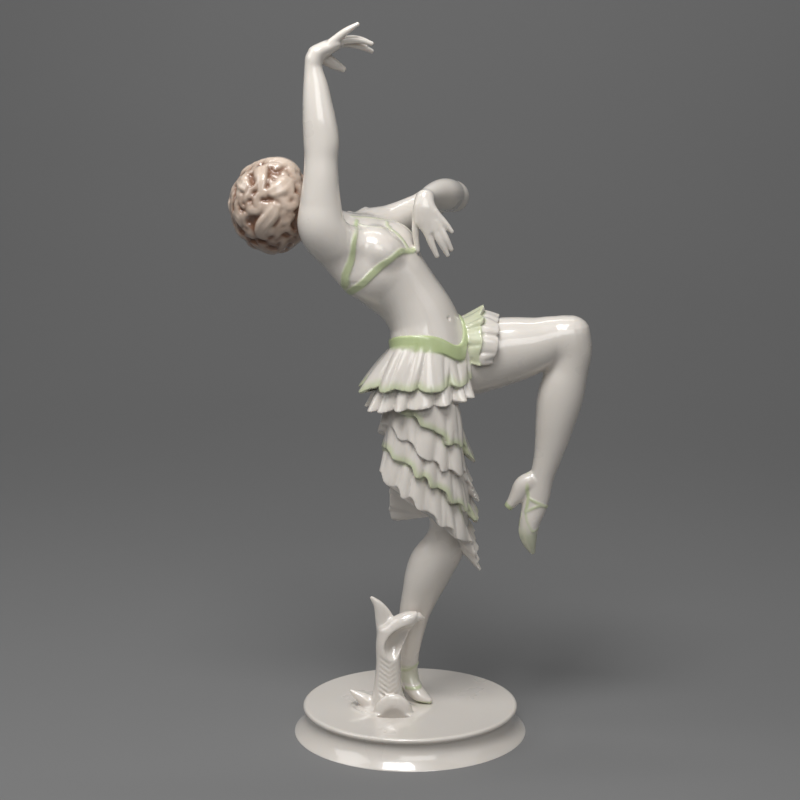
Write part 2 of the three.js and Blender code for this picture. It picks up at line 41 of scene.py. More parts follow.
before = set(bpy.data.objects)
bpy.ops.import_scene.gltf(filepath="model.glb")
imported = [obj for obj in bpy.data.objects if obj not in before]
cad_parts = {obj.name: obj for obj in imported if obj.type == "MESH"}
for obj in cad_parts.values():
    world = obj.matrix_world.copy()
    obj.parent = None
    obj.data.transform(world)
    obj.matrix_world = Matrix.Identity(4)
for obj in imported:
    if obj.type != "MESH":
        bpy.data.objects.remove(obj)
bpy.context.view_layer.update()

ALONG_X = np.array([1.0, 0.0, 0.0])
ALONG_Y = np.array([0.0, 1.0, 0.0])
UP = np.array([0.0, 0.0, 1.0])


# The camera, in metres. Its tilt is counted up from looking straight down.
CAMERA_AT = (-0.0052, -0.9772, 0.3651)
CAMERA_TILT = math.radians(79)
CAMERA_LENS = 90.0
SENSOR_WIDTH = 36.0

# The floor's outline, as (y, z) in metres: level, then curved up into a backdrop.
SWEEP = [(-2.6, 0.0), (0.5, 0.0), (0.8, 0.02), (1.1, 0.12), (1.35, 0.32), (1.5, 0.6), (1.56, 1.0), (1.6, 3.2)]
FLOOR_HALF_WIDTH = 3.0
FLOOR_TONES = [(0.185, 0.185, 0.185), (0.2, 0.2, 0.2)]
FLOOR_ROUGHNESS = 0.7

# The lights, in metres and watts: where each is, what it shines at, its width and height, and its power.
LIGHTS = {
    "key": [(-0.12, -0.36, 0.9), (0, 0, 0.2), (0.36, 0.36), 5.4],
    "front": [(0.1, -0.66, 0.6), (0.02, 0, 0.26), (0.5, 0.3), 1.4],
    "side": [(0.75, -0.35, 0.75), (0, 0, 0.25), (0.6, 0.6), 0.7],
    "left": [(-0.75, -0.2, 0.75), (0, 0, 0.27), (0.5, 0.5), 1.9],
    "backdrop": [(0.0, 0.6, 1.9), (0, 1.5, 1.3), (1.2, 0.5), 15.0],
}
WORLD_COLOUR = (0.8, 0.8, 0.82, 1)
WORLD_STRENGTH = 0.05


def camera():
    data = bpy.data.cameras.new("camera")
    data.lens = CAMERA_LENS
    data.sensor_width = SENSOR_WIDTH
    made = bpy.data.objects.new("camera", data)
    made.location = CAMERA_AT
    made.rotation_euler = (CAMERA_TILT, 0, 0)
    bpy.context.scene.collection.objects.link(made)
    bpy.context.scene.camera = made


def area_light(name, at, towards, size, power):
    data = bpy.data.lights.new(name, "AREA")
    data.shape = "RECTANGLE"
    data.size, data.size_y = size
    data.energy = power
    made = bpy.data.objects.new(name, data)
    made.location = at
    aim = np.array(towards) - np.array(at)
    made.rotation_euler = Vector(aim).to_track_quat("-Z", "Y").to_euler()
    bpy.context.scene.collection.objects.link(made)


def floor_sheet():
    """The floor and the backdrop behind it, in one smooth sheet."""
    data = bpy.data.meshes.new("floor")
    points = [(x, y, z) for y, z in SWEEP for x in (-FLOOR_HALF_WIDTH, FLOOR_HALF_WIDTH)]
    faces = [(2 * i, 2 * i + 1, 2 * i + 3, 2 * i + 2) for i in range(len(SWEEP) - 1)]
    data.from_pydata(points, [], faces)
    floor = bpy.data.objects.new("floor", data)
    bpy.context.scene.collection.objects.link(floor)
    smoothed = floor.modifiers.new("curve", "SUBSURF")
    smoothed.levels = smoothed.render_levels = 3
    data.polygons.foreach_set("use_smooth", np.ones(len(data.polygons), bool))
    paper = Nodes("floor")
    paper.set(paper.shader.inputs["Base Color"], paper.mix(paper.noise(3.0), *FLOOR_TONES))
    paper.shader.inputs["Roughness"].default_value = FLOOR_ROUGHNESS
    data.materials.append(paper.material)
    return floor


def studio():
    """A plain floor and backdrop, with soft lights."""
    floor_sheet()
    for name, light in LIGHTS.items():
        area_light(name, *light)
    world = bpy.data.worlds.new("studio")
    world.use_nodes = True
    backdrop = world.node_tree.nodes["Background"].inputs
    backdrop["Color"].default_value = WORLD_COLOUR
    backdrop["Strength"].default_value = WORLD_STRENGTH
    bpy.context.scene.world = world
    bpy.context.scene.view_settings.view_transform = "Standard"


def unit(v):
    """Vectors made one long."""
    v = np.asarray(v, float)
    return v / np.maximum(np.linalg.norm(v, axis=-1, keepdims=True), 1e-9)


def spline(rows, step):
    """A smooth curve through the rows, read off about every "step" millimetres. Extra columns go along."""
    rows = np.array(rows, float)
    lengths = np.linalg.norm(np.diff(rows[:, :3], axis=0), axis=1)
    gaps = np.sqrt(lengths)
    knots = np.r_[0, np.cumsum(gaps)]
    chords = np.diff(rows, axis=0) / gaps[:, None]
    slopes = np.vstack([chords[:1], chords[-1:]])
    if len(rows) > 2:
        before, after = gaps[:-1, None], gaps[1:, None]
        inner = (chords[:-1] * after + chords[1:] * before) / (before + after)
        slopes = np.vstack([chords[:1], inner, chords[-1:]])
    count = max(6, int(lengths.sum() / step) + 1)
    at = np.linspace(0, knots[-1], count)
    i = np.clip(np.searchsorted(knots, at, "right") - 1, 0, len(gaps) - 1)
    gap = gaps[i][:, None]
    u = (at - knots[i])[:, None] / gap
    a, b = rows[i], rows[i + 1]
    out = (1 + 2 * u) * (1 - u) ** 2 * a + u * u * (3 - 2 * u) * b
    return out + gap * (u * (1 - u) ** 2 * slopes[i] - u * u * (1 - u) * slopes[i + 1])


def skin(rings):
    """A closed surface over rings of points, each end closed on its own middle."""
    rings = np.asarray(rings, float)
    count, around = rings.shape[:2]
    points = np.vstack([rings.reshape(-1, 3), rings[0].mean(0), rings[-1].mean(0)])
    i, j = np.meshgrid(np.arange(count - 1), np.arange(around), indexing="ij")
    k = (j + 1) % around
    a, b, c, d = i * around + j, i * around + k, (i + 1) * around + k, (i + 1) * around + j
    sides = np.vstack([np.stack([a, b, c], -1).reshape(-1, 3), np.stack([a, c, d], -1).reshape(-1, 3)])
    j = np.arange(around)
    k = (j + 1) % around
    first, last = len(points) - 2, len(points) - 1
    top = (count - 1) * around
    near = np.stack([np.full(around, first), k, j], -1)
    far = np.stack([np.full(around, last), top + j, top + k], -1)
    return points, np.vstack([sides, near, far])


THINNEST = 0.15
DOME_RINGS = 4


def limb(rows, across, sides=40, step=1.0, dome=0.8):
    """An oval limb with domed ends: each row is its middle, half width along "across" and half depth."""
    line = spline(rows, step)
    middle, half = line[:, :3], np.maximum(line[:, 3:5], THINNEST)
    along = unit(np.gradient(middle, axis=0))
    side = unit(across - (along @ across)[:, None] * along)
    deep = np.cross(along, side)
    turn = np.linspace(0, TURN, sides, endpoint=False)
    ring = np.cos(turn)[None, :, None] * (side * half[:, :1])[:, None]
    ring = ring + np.sin(turn)[None, :, None] * (deep * half[:, 1:])[:, None]
    rings = middle[:, None] + ring
    caps = np.linspace(0, 0.5 * math.pi, DOME_RINGS + 2)[1:-1]
    reach = half.min(1) * dome
    start = [middle[0] - along[0] * reach[0] * math.sin(c) + ring[0] * math.cos(c) for c in caps[::-1]]
    end = [middle[-1] + along[-1] * reach[-1] * math.sin(c) + ring[-1] * math.cos(c) for c in caps]
    return skin(np.concatenate([start, rings, end]))


def round_limb(rows, across, sides, step):
    """A limb of round section: each row is its middle and its radius."""
    return limb([[*row, row[3]] for row in rows], across, sides, step)


def ball(at, half, axes=None, segments=40):
    """An ovoid with half sizes along its own axes."""
    axes = np.eye(3) if axes is None else np.array(axes)
    half = np.broadcast_to(half, 3)
    tilt = np.linspace(0, math.pi, segments // 2 + 1)[1:-1]
    turn = np.linspace(0, TURN, segments, endpoint=False)
    x = np.sin(tilt)[:, None] * np.cos(turn) * half[0]
    y = np.sin(tilt)[:, None] * np.sin(turn) * half[1]
    z = np.cos(tilt)[:, None] * np.ones(segments) * half[2]
    return skin(np.array(at) + np.stack([x, y, z], -1) @ axes)


def lathe(profile, segments=160):
    """A turned form about Z, from (radius, height) pairs."""
    turn = np.linspace(0, TURN, segments, endpoint=False)
    rings = [np.stack([r * np.cos(turn), r * np.sin(turn), np.full(segments, z)], -1) for r, z in profile]
    return skin(rings)


class Clay:
    """A block of voxels that holds, in millimetres, how far each is outside the clay's surface."""

    def __init__(self, low, high, voxel):
        self.voxel = voxel * COARSE
        self.first = np.floor(np.array(low) / self.voxel).astype(int)
        shape = np.ceil(np.array(high) / self.voxel).astype(int) - self.first + 1
        self.depth = np.full(shape, BAND, np.float32)

    def read(self, form):
        """The part of the block that a form reaches, and the form's own distances there."""
        points, faces = form
        grid = vdb.FloatGrid.createLevelSetFromPolygons(
            points.astype(np.float32),
            triangles=faces.astype(np.uint32),
            transform=vdb.createLinearTransform(self.voxel),
            halfWidth=BAND / self.voxel,
        )
        low = np.floor((points.min(0) - BAND) / self.voxel).astype(int) - self.first
        high = np.ceil((points.max(0) + BAND) / self.voxel).astype(int) - self.first + 1
        low = np.clip(low, 0, self.depth.shape)
        high = np.clip(high, low, self.depth.shape)
        block = np.full(high - low, BAND, np.float32)
        if block.size:
            grid.copyToArray(block, ijk=tuple(int(v) for v in low + self.first))
        return tuple(slice(a, b) for a, b in zip(low, high)), block

    def add(self, form, blend=0.0):
        """Puts a form on, with a fillet of that size."""
        where, new = self.read(form)
        self.depth[where] = join(self.depth[where], new, blend)

    def cut(self, form, blend=0.0):
        """Takes a form away, with its edge rounded by that size."""
        where, new = self.read(form)
        self.depth[where] = -join(-self.depth[where], new, blend)

    def all(self):
        """The whole block, as slices."""
        return tuple(slice(0, n) for n in self.depth.shape)

    def like(self):
        """An empty block on the same voxels."""
        other = Clay.__new__(Clay)
        other.voxel, other.first = self.voxel, self.first
        other.depth = np.full_like(self.depth, BAND)
        return other

    def places(self, where):
        """The X, Y and Z of the voxels of a part of the block."""
        axes = [(np.arange(s.start, s.stop) + f) * self.voxel for s, f in zip(where, self.first)]
        return np.meshgrid(*axes, indexing="ij", sparse=True)

    def mesh(self, name, most):
        """The surface as a smooth-shaded object of at most that many triangles."""
        grid = vdb.FloatGrid(BAND)
        grid.transform = vdb.createLinearTransform(self.voxel)
        grid.copyFromArray(self.depth, ijk=tuple(int(v) for v in self.first))
        points, quads = grid.convertToQuads()
        points, quads = outer_shell(points, quads)
        data = bpy.data.meshes.new(name)
        data.vertices.add(len(points))
        data.vertices.foreach_set("co", (points * MM).astype(np.float32).ravel())
        data.loops.add(len(quads) * 4)
        data.loops.foreach_set("vertex_index", quads[:, ::-1].astype(np.int32).ravel())
        data.polygons.add(len(quads))
        data.polygons.foreach_set("loop_start", np.arange(0, len(quads) * 4, 4, dtype=np.int32))
        data.update(calc_edges=True)
        data.validate()
        made = bpy.data.objects.new(name, data)
        bpy.context.scene.collection.objects.link(made)
        if len(quads) * 2 > most:
            thin(made, most / (len(quads) * 2))
        made.data.polygons.foreach_set("use_smooth", np.ones(len(made.data.polygons), bool))
        return made


def join(a, b, blend):
    """The distance to two forms together, with a soft fillet of about that size between them."""
    if blend <= 0:
        return np.minimum(a, b)
    share = np.clip(0.5 + 0.5 * (b - a) / blend, 0, 1)
    return b + (a - b) * share - blend * share * (1 - share)


def outer_shell(points, quads):
    """Leaves out closed pockets inside the clay, and keeps the largest surface."""
    owner = np.arange(len(points))
    while True:
        lowest = owner[quads].min(1)
        new = owner.copy()
        np.minimum.at(new, quads.ravel(), np.repeat(lowest, 4))
        new = np.minimum(new, new[new])
        new = new[new]
        if (new == owner).all():
            break
        owner = new
    main = np.bincount(owner).argmax()
    kept = owner == main
    index = np.cumsum(kept) - 1
    return points[kept], index[quads[kept[quads[:, 0]]]]


def thin(made, ratio):
    """Leaves that share of an object's triangles."""
    modifier = made.modifiers.new("thin", "DECIMATE")
    modifier.ratio = ratio
    bpy.context.view_layer.update()
    graph = bpy.context.evaluated_depsgraph_get()
    data = bpy.data.meshes.new_from_object(made.evaluated_get(graph))
    made.modifiers.clear()
    old = made.data
    made.data = data
    bpy.data.meshes.remove(old)


def vertices(made):
    """An object's vertices, in millimetres."""
    co = np.empty(len(made.data.vertices) * 3, np.float32)
    made.data.vertices.foreach_get("co", co)
    return co.reshape(-1, 3) / MM


def strongest(paints):
    """The strongest of several paints at each point."""
    return np.maximum.reduce(paints)


def keep_mask(made, name, values):
    """Keeps a value from 0 to 1 on each vertex, for the materials."""
    attribute = made.data.attributes.new(name, "FLOAT", "POINT")
    attribute.data.foreach_set("value", np.clip(values, 0, 1).astype(np.float32))


def smooth(low, high, values):
    """Goes softly from 0 at the first value to 1 at the second, which may be the smaller one."""
    t = np.clip((values - low) / (high - low), 0, 1)
    return t * t * (3 - 2 * t)


def look_up(clay, values, points):
    """A block's values at any points, between its voxels. Outside the block it is BAND."""
    at = points / clay.voxel - clay.first
    low = np.floor(at).astype(int)
    inside = ((low >= 0) & (low < np.array(values.shape) - 1)).all(1)
    out = np.full(len(points), BAND, np.float32)
    low, part = low[inside], (at - low)[inside]
    total = 0
    for corner in np.ndindex(2, 2, 2):
        share = np.prod(np.where(corner, part, 1 - part), axis=1)
        total = total + share * values[tuple((low + corner).T)]
    out[inside] = total
    return out


PAINT_VOXEL = 0.5
DEEPEST = 2.5


def distance(points, form):
    """How far points are outside a form, negative inside it, up to BAND."""
    clay = Clay(form[0].min(0) - BAND, form[0].max(0) + BAND, PAINT_VOXEL)
    clay.add(form)
    return look_up(clay, clay.depth, points)


def blurred(values, reach):
    """The mean of the voxels within that many voxels along each axis."""
    for axis in range(3):
        total = np.cumsum(values, axis=axis, dtype=np.float64)
        size = values.shape[axis]
        low = np.clip(np.arange(size) - reach - 1, 0, None)
        high = np.clip(np.arange(size) + reach, None, size - 1)
        values = (np.take(total, high, axis) - np.take(total, low, axis)) / (2 * reach + 1)
    return values.astype(np.float32)


def hollows(clay, points, reach=1.6):
    """How much points lie in a hollow, from 0 to 1."""
    span = max(1, round(reach / clay.voxel))
    filled = np.clip(clay.depth, -DEEPEST, DEEPEST)
    return smooth(0.1, 1.0, -look_up(clay, blurred(blurred(filled, span), span), points))


def hem_paint(points, grid, width):
    """Paint along the hem of a sheet, fading up its face over that width."""
    face = slab(grid[-20:], np.full(20, 2.6))
    hem = grid[-1][::5]
    edge = limb(np.c_[hem, np.full((len(hem), 2), 0.8)], UP, sides=8, step=1.5)
    on_face = smooth(0.9, 0.2, distance(points, face))
    return on_face * smooth(width, 0.3, distance(points, edge))


def line_paint(points, lines, soft):
    """Paint along lines, fading over that width. Each row of a line is a point and the half width there."""
    forms = [round_limb(rows, UP, sides=16, step=1.0) for rows in lines]
    return [smooth(soft, -soft, distance(points, form)) for form in forms]


# The dancer's frame: hips and shoulders are turned towards the viewer by this much.
TORSO_TURN = math.radians(28)
LEFTWARDS = np.array([math.sin(TORSO_TURN), math.cos(TORSO_TURN), 0.0])
FORWARDS = np.array([math.cos(TORSO_TURN), -math.sin(TORSO_TURN), 0.0])

# The base, from the underside up.
FOOT_RADIUS = 60.0
RIM_RADIUS = 54.8
NECK_RADIUS = 53.0
BASE_HEIGHT = 17.6
RIM_ROUND = 1.4
FOOT_ROUND = 1.5
FOOT_EDGE = 1.0
FLARE_HOLLOW = 2.0
MIDDLE_RING = 1.0

# Each limb is a row of stations: middle x, y, z, half its width along "across", half its depth.
TORSO = [
    [15, 4.5, 176, 12, 9],
    [14, 4.5, 184, 21, 16],
    [12.5, 4.5, 194, 24.5, 18],
    [8.6, 4, 206, 22.5, 17.6],
    [5, 4, 217, 19.8, 16.2],
    [-1.2, 4, 226.5, 19, 16.2],
    [-8, 4, 234.2, 20.5, 18],
    [-14.2, 3.5, 240.8, 23, 18.6],
    [-20.4, 3, 247.4, 24, 17],
    [-26.4, 2.4, 253.8, 22.4, 13.8],
    [-32, 2, 258.4, 17.4, 10],
    [-37, 3, 261, 9.5, 7.4],
]
NECK = [
    [-33, 3.5, 258.5, 8.6, 9],
    [-40, 5, 264, 7, 7.8],
    [-48, 6.6, 268.2, 6.8, 7.4],
    [-57, 8, 271.5, 7.4, 8],
]
RIGHT_ARM = [
    [-28.6, -10, 248, 9.6, 9],
    [-36.4, -15.6, 254, 11.2, 10.6],
    [-42.6, -20, 263.5, 11.6, 10.6],
    [-43.2, -20.5, 275, 9.9, 9.4],
    [-42.9, -20.5, 287, 8.5, 8.5],
    [-42.8, -20, 296, 8, 8],
    [-42.6, -20, 304, 8.5, 7.6],
    [-43.4, -19.3, 313, 8.1, 7.7],
    [-44.3, -18.8, 321, 7.2, 7],
    [-45.2, -18, 330, 6, 6],
    [-46.2, -17.3, 338, 4.4, 5],
    [-46.2, -17, 343, 3.8, 5],
    [-45.4, -17, 346, 3.2, 4.6],
]
LEFT_UPPER_ARM = [
    [-27, 13, 255, 9.5, 9.5],
    [-20.4, 21.4, 258.4, 10, 9.8],
    [-10.4, 29, 260.8, 8.8, 8.8],
    [4, 36.4, 266.8, 7.5, 7.5],
    [16.4, 41, 272.4, 7.8, 7.8],
    [22.6, 42.4, 272.6, 6.8, 6.8],
]
LEFT_FOREARM = [
    [22.4, 43.6, 272.4, 6.6, 6.6],
    [20, 37.6, 273.6, 8, 7.8],
    [16.5, 26, 275, 8, 7.8],
    [12, 14, 276, 6.3, 6],
    [8.4, 4, 276, 4.6, 4.4],
    [6.8, -1.5, 274.5, 4.6, 3.8],
]
LEFT_THIGH = [
    [14, 9, 190, 14, 13],
    [26, 13, 192.2, 17.8, 15.5],
    [36, 15, 194.6, 18.1, 15.5],
    [46, 16, 196.8, 17.4, 15],
    [55, 16, 198.6, 16.1, 14.2],
    [64, 16, 200.7, 13.9, 12.8],
    [72, 16, 203, 12, 11],
    [80, 16, 204, 10.8, 10],
]
LEFT_SHIN = [
    [80.2, 16, 207, 10, 9.6],
    [80.8, 16, 198, 10.8, 10],
    [79.6, 16, 188, 10.3, 9.6],
    [77.4, 16, 180, 11.4, 10],
    [75.5, 16, 172, 11.6, 10],
    [73.7, 16, 162, 10.3, 9.2],
    [72, 16, 152, 8.8, 7.8],
    [69.8, 16, 142, 7.1, 6.4],
    [67.1, 16, 132, 6.2, 5.4],
    [64.6, 15.6, 123, 6.9, 5],
    [62.9, 15.2, 115, 6.3, 5.2],
    [61.2, 15, 109, 5.4, 5.8],
    [60.4, 15, 103.5, 5, 5.6],
    [61.2, 15, 98, 3.7, 4.2],
    [62.8, 15, 92.8, 1.5, 1.8],
]
LEFT_HEEL = [
    [63, 15.6, 131, 4.6, 4.4],
    [57.8, 15.4, 128, 4.8, 4.4],
    [54.9, 15.3, 123, 4.2, 3.8],
    [52, 15.1, 119, 2.9, 2.8],
    [49.8, 15, 116.4, 2.3, 2.3],
]
RIGHT_LEG = [
    [5, -4, 196, 14, 13],
    [8.6, -6, 185, 16.5, 15.5],
    [10.6, -5.5, 170, 13.8, 14.4],
    [13.6, -4.5, 153, 12.2, 13],
    [17, -3, 136, 11.7, 11.8],
    [19.2, -1.5, 121, 10.8, 10.8],
    [19.2, -0.5, 109, 9.7, 10],
    [16.3, 0, 99, 10.9, 10.8],
    [11.3, 1, 91, 11.7, 11.2],
    [8.1, 2, 83, 11.1, 10.8],
    [5.5, 3, 75, 9.6, 9.6],
    [2.6, 4.5, 65, 8.1, 8],
    [0.8, 6, 55, 6.9, 6.6],
    [-0.8, 7.8, 44, 6, 5.6],
    [-1.6, 8.4, 37, 5.7, 5.6],
]
RIGHT_FOOT = [
    [-2, 9, 39, 5, 5],
    [-1.4, 7.4, 31.5, 5, 5.6],
    [0.6, 4.4, 25.6, 4.7, 4.8],
    [3.6, 1.2, 22.2, 4.5, 4],
    [7, -1.6, 20.4, 3.8, 2.8],
    [10, -3.4, 19.2, 1.8, 1.5],
]
RIGHT_HEEL = [
    [-1.8, 9, 33, 5, 5],
    [-4.6, 12.6, 28.5, 4.6, 5],
    [-5.6, 13.8, 22.5, 3, 3],
    [-5.8, 14.2, 16, 2.6, 2.6],
]
SHOULDER_BLADE_SIDE = [
    [-37.4, -11, 253, 6, 6],
    [-31, -14, 243.5, 8, 8],
    [-24, -12, 235, 7.2, 7],
    [-15.6, -6, 228, 3, 3],
]
CHEST_SIDE = [[-40, -15, 258, 6, 6], [-31, -14.6, 255, 8, 7], [-22, -9, 252, 6, 6]]

# The hands: a flat palm, then each finger as root, middle and tip with its radius.
RIGHT_PALM = [
    [-45.8, -16.8, 342.6, 4.6, 3.6],
    [-43.4, -16.4, 346, 5.6, 3.9],
    [-39.4, -15.8, 348.2, 6.6, 3.7],
    [-35, -15.4, 350, 6.4, 3],
]
RIGHT_FINGERS = [
    [[-37.5, -20, 350.6, 2.1], [-31.3, -20.8, 355.4, 1.8], [-25, -21.4, 359.2, 1.1]],
    [[-37, -17, 351, 2.1], [-25.5, -16.4, 352, 1.9], [-18.4, -15.6, 350, 1.1]],
    [[-37, -13.2, 350.6, 2.1], [-26, -12.4, 349.4, 1.8], [-18.4, -11.6, 346.4, 1.1]],
    [[-37.5, -10.2, 350, 2], [-28, -7.8, 350.2, 1.7], [-21.5, -6, 348.6, 1]],
    [[-43, -11.6, 345, 3.5], [-38, -9.6, 341.2, 2.9], [-32.2, -8, 337.8, 1.6]],
]
LEFT_PALM = [
    [6.9, -0.8, 276.4, 4.2, 3.6],
    [6.7, -3.4, 272, 5.4, 3.4],
    [8.2, -4.2, 266.4, 6.2, 2.8],
    [11.4, -4.4, 260.8, 5.4, 2.2],
]
LEFT_FINGERS = [
    [[6.6, -4, 265.5, 2.2], [9.6, -4.4, 255.4, 1.9], [13, -4, 247.6, 1.2]],
    [[10.4, -4.3, 264, 2.1], [14.2, -5.2, 255.4, 1.8], [18.2, -4.4, 248, 1.1]],
    [[12.6, -4.2, 264.4, 2.1], [17, -5, 256.4, 1.8], [20, -4.6, 250.8, 1.1]],
    [[11.4, -3.8, 269, 2.2], [17, -3.6, 263, 1.8], [20.2, -3.6, 259.4, 1.1]],
    [[3.4, -2.6, 270.5, 2.4], [2.4, -1.4, 259, 1.8], [3.6, -1.2, 250, 1.1]],
]

# The breasts: half sizes outwards, across and along the chest.
BREAST_OUT = unit([0.6, -0.3, 0.74])
BREAST_SIDE = unit(np.cross(BREAST_OUT, [-0.75, 0, 0.66]))
BREAST_AXES = np.array([BREAST_OUT, BREAST_SIDE, np.cross(BREAST_OUT, BREAST_SIDE)])
BREAST_HALF = np.array([8.6, 11.4, 11.8])
BREASTS = [[-14.6, -9.4, 252.2], [-7.4, 8, 252.8]]

# The head lies back: crown along CROWNWARDS, face along FACING.
HEAD_MIDDLE = np.array([-66, 10, 272.6])
CROWNWARDS = unit([-0.985, 0.1, 0.06])
FACING = np.array([0.1, 0.94, 0.3])
FACING = unit(FACING - FACING @ CROWNWARDS * CROWNWARDS)
EARWARDS = np.cross(FACING, CROWNWARDS)
HEAD_AXES = np.array([EARWARDS, FACING, CROWNWARDS])


def on_head(ear, face, crown):
    """A point of the head, from the middle of the head: towards the left ear, forwards and to the crown."""
    return HEAD_MIDDLE + np.array([ear, face, crown], float) @ HEAD_AXES


def finger(joints, across):
    return round_limb(joints, across, sides=20, step=0.5)


# The belt runs round the hips at this height, and rises steeply beyond BELT_THIGH. It dips at the front and
# the back and climbs the thigh: each of these is a middle x and y, how wide it is and how far it rises.
BELT_HEIGHT = 206.8
BELT_DIP = [24, -9, 7, -6.5]
BELT_CLIMB = [25, 14, 9, 6.0]
BELT_BACK = [-14, 2, 10, -5.5]
BELT_THIGH = 27.0
BELT_STEEP = 2.6
BELT_HALF = 3.9
BELT_PROUD = 1.0


def belt_line(x, y):
    """The height of the middle of the belt above any point of the plan."""
    height = BELT_HEIGHT + BELT_STEEP * np.maximum(0, x - BELT_THIGH)
    for at_x, at_y, wide, rise in (BELT_DIP, BELT_CLIMB, BELT_BACK):
        height = height + rise * np.exp(-((x - at_x) ** 2 + (y - at_y) ** 2) / (2 * wide ** 2))
    return height


def ring_curve(rows, count):
    """A smooth closed curve through the rows."""
    rows = np.array(rows, float)
    at = np.arange(count) * len(rows) / count
    i = at.astype(int)
    u = (at - i)[:, None]
    p, q, r, s = (rows[(i + k) % len(rows)] for k in (-1, 0, 1, 2))
    bent = (2 * p - 5 * q + 4 * r - s) * u ** 2 + (3 * q - p - 3 * r + s) * u ** 3
    return 0.5 * (2 * q + (r - p) * u + bent)


def slab(grid, thick):
    """A closed sheet on a grid of points, of the given thickness down its rows."""
    out = unit(np.cross(np.gradient(grid, axis=1), np.gradient(grid, axis=0)))
    half = 0.5 * np.asarray(thick)[:, None, None]
    front, back = grid + out * half, grid - out * half
    rings = np.concatenate([front, back[:, ::-1]], axis=1)
    return skin(rings)


def outwards(line):
    """The level directions that point away from the middle of a line that runs round something."""
    along = np.gradient(line, axis=0)
    out = unit(np.cross(along, UP))
    side = np.sign(((line - line.mean(0)) * out).sum())
    return out * side


def ridges(phase, crisp=0.75):
    """Round ridges with narrow valleys between them, from -1 to 1: the less, the flatter and the narrower."""
    return 2 * np.abs(np.cos(phase / 2)) ** crisp - 1


# What describes a sheet of cloth, besides "pleat", the width and depth of its folds, and "scallop", the
# width of the waves of its hem, how far they swing out and how far they hang down.
PLAIN_SHEET = {
    "shift": 0.0,  # where its folds begin
    "crisp": 0.75,  # the shape of its folds
    "ragged": 0.0,  # how unequal its waves are
    "steps": False,  # whether a sloping hem falls by level steps, one for each wave
    "lean": 1.25,  # how it goes outwards on its way down
    "swell": 0.0,  # how far it swells out half way
    "thick": 1.6,  # its thickness at the top
}
SHEET_ROWS = 26
HEM_THICK = 1.15
STEP_SPAN = 25


def folds_and_waves(lengths, own):
    """The folds of a sheet and the waves of its hem, from -1 to 1, and each point's part of its own wave."""
    s = lengths / lengths[-1]
    shift = own["shift"]
    uneven = 0.5 * np.sin(TURN * 3 * s + shift) + 0.35 * np.sin(TURN * 7 * s + 2 * shift)
    folds = TURN * round(lengths[-1] / own["pleat"][0]) * s + 2 * shift + 2.2 * uneven
    part = (round(lengths[-1] / own["scallop"][0]) * s + (shift + 1.8 * uneven) / TURN) % 1
    ragged = 1 + own["ragged"] * np.sin(TURN * 2.5 * s + 3 * shift)
    return ridges(folds, own["crisp"]), ridges(TURN * part) * ragged, part


def steps_down(hem, down, lengths, part):
    """How far a sloping hem hangs below its own line, from -1 to 1, to fall by a step at each wave."""
    descent = np.clip(2 * np.gradient(hem @ down) / np.gradient(lengths), -1, 1)
    window = 2 * STEP_SPAN + 1
    descent = np.convolve(np.pad(descent, STEP_SPAN, mode="wrap"), np.full(window, 1 / window), "valid")
    return descent * (1 - 2 * smooth(0.0, 0.74, part) + 2 * smooth(0.76, 1.0, part))


def cloth(top, hem, own, down=-UP, out=None):
    """A pleated sheet between two lines, as its form and the grid of its middle surface."""
    own = {**PLAIN_SHEET, **own}
    out = outwards(hem) if out is None else out
    lengths = np.r_[0, np.cumsum(np.linalg.norm(np.diff(hem, axis=0), axis=1))]
    pleats, waves, part = folds_and_waves(lengths, own)
    drop = steps_down(hem, down, lengths, part) if own["steps"] else waves
    _, pleat_depth = own["pleat"]
    _, wave_out, wave_down = own["scallop"]
    rows = []
    for t in np.linspace(0, 1, SHEET_ROWS):
        lean = t ** own["lean"]
        middle = top * (1 - lean) + hem * lean
        fall = (top * (1 - t) + hem * t) @ down
        middle = middle + np.outer(fall - middle @ down, down)
        push = pleat_depth * math.sin(math.pi * min(1, 0.1 + 0.75 * t)) * pleats
        push = push + wave_out * t ** 2.2 * waves + own["swell"] * math.sin(math.pi * t ** 0.8)
        rows.append(middle + push[:, None] * out + (wave_down * t ** 3.5 * drop)[:, None] * down)
    grid = np.array(rows)
    return slab(grid, np.linspace(own["thick"], HEM_THICK, len(grid))), grid


def corner(radius, height, rounding, turns):
    """A rounded corner about its own middle, as (radius, height) pairs."""
    return [(radius + rounding * math.cos(a), height + rounding * math.sin(a)) for a in turns]


def base_profile():
    """Half of the base's section, from the middle of its underside to the middle of its top."""
    foot = corner(FOOT_RADIUS - FOOT_ROUND, FOOT_ROUND, FOOT_ROUND, np.linspace(-math.pi / 2, 0, 8))
    turns = np.linspace(-math.pi / 3, math.pi / 2, 10)
    rim = corner(RIM_RADIUS - RIM_ROUND, BASE_HEIGHT - RIM_ROUND, RIM_ROUND, turns)
    low, high = FOOT_ROUND + FOOT_EDGE, BASE_HEIGHT - 2 * RIM_ROUND
    flare = []
    for t in np.linspace(0, 1, 16)[1:]:
        radius = FOOT_RADIUS + (NECK_RADIUS - FOOT_RADIUS) * t - FLARE_HOLLOW * math.sin(math.pi * t)
        flare.append((radius, low + (high - low) * t))
    return [(MIDDLE_RING, 0), *foot, *flare, *rim, (MIDDLE_RING, BASE_HEIGHT)]


def model_base():
    clay = Clay((-62, -62, -2), (62, 62, 82), voxel=0.55)
    clay.add(lathe(base_profile()))
    model_stump(clay)
    made = clay.mesh("base_and_stump", most=150000)
    # The hollows of the base and the stump, where painted shade darkens them.
    keep_mask(made, "hollow", hollows(clay, vertices(made)))
    return made


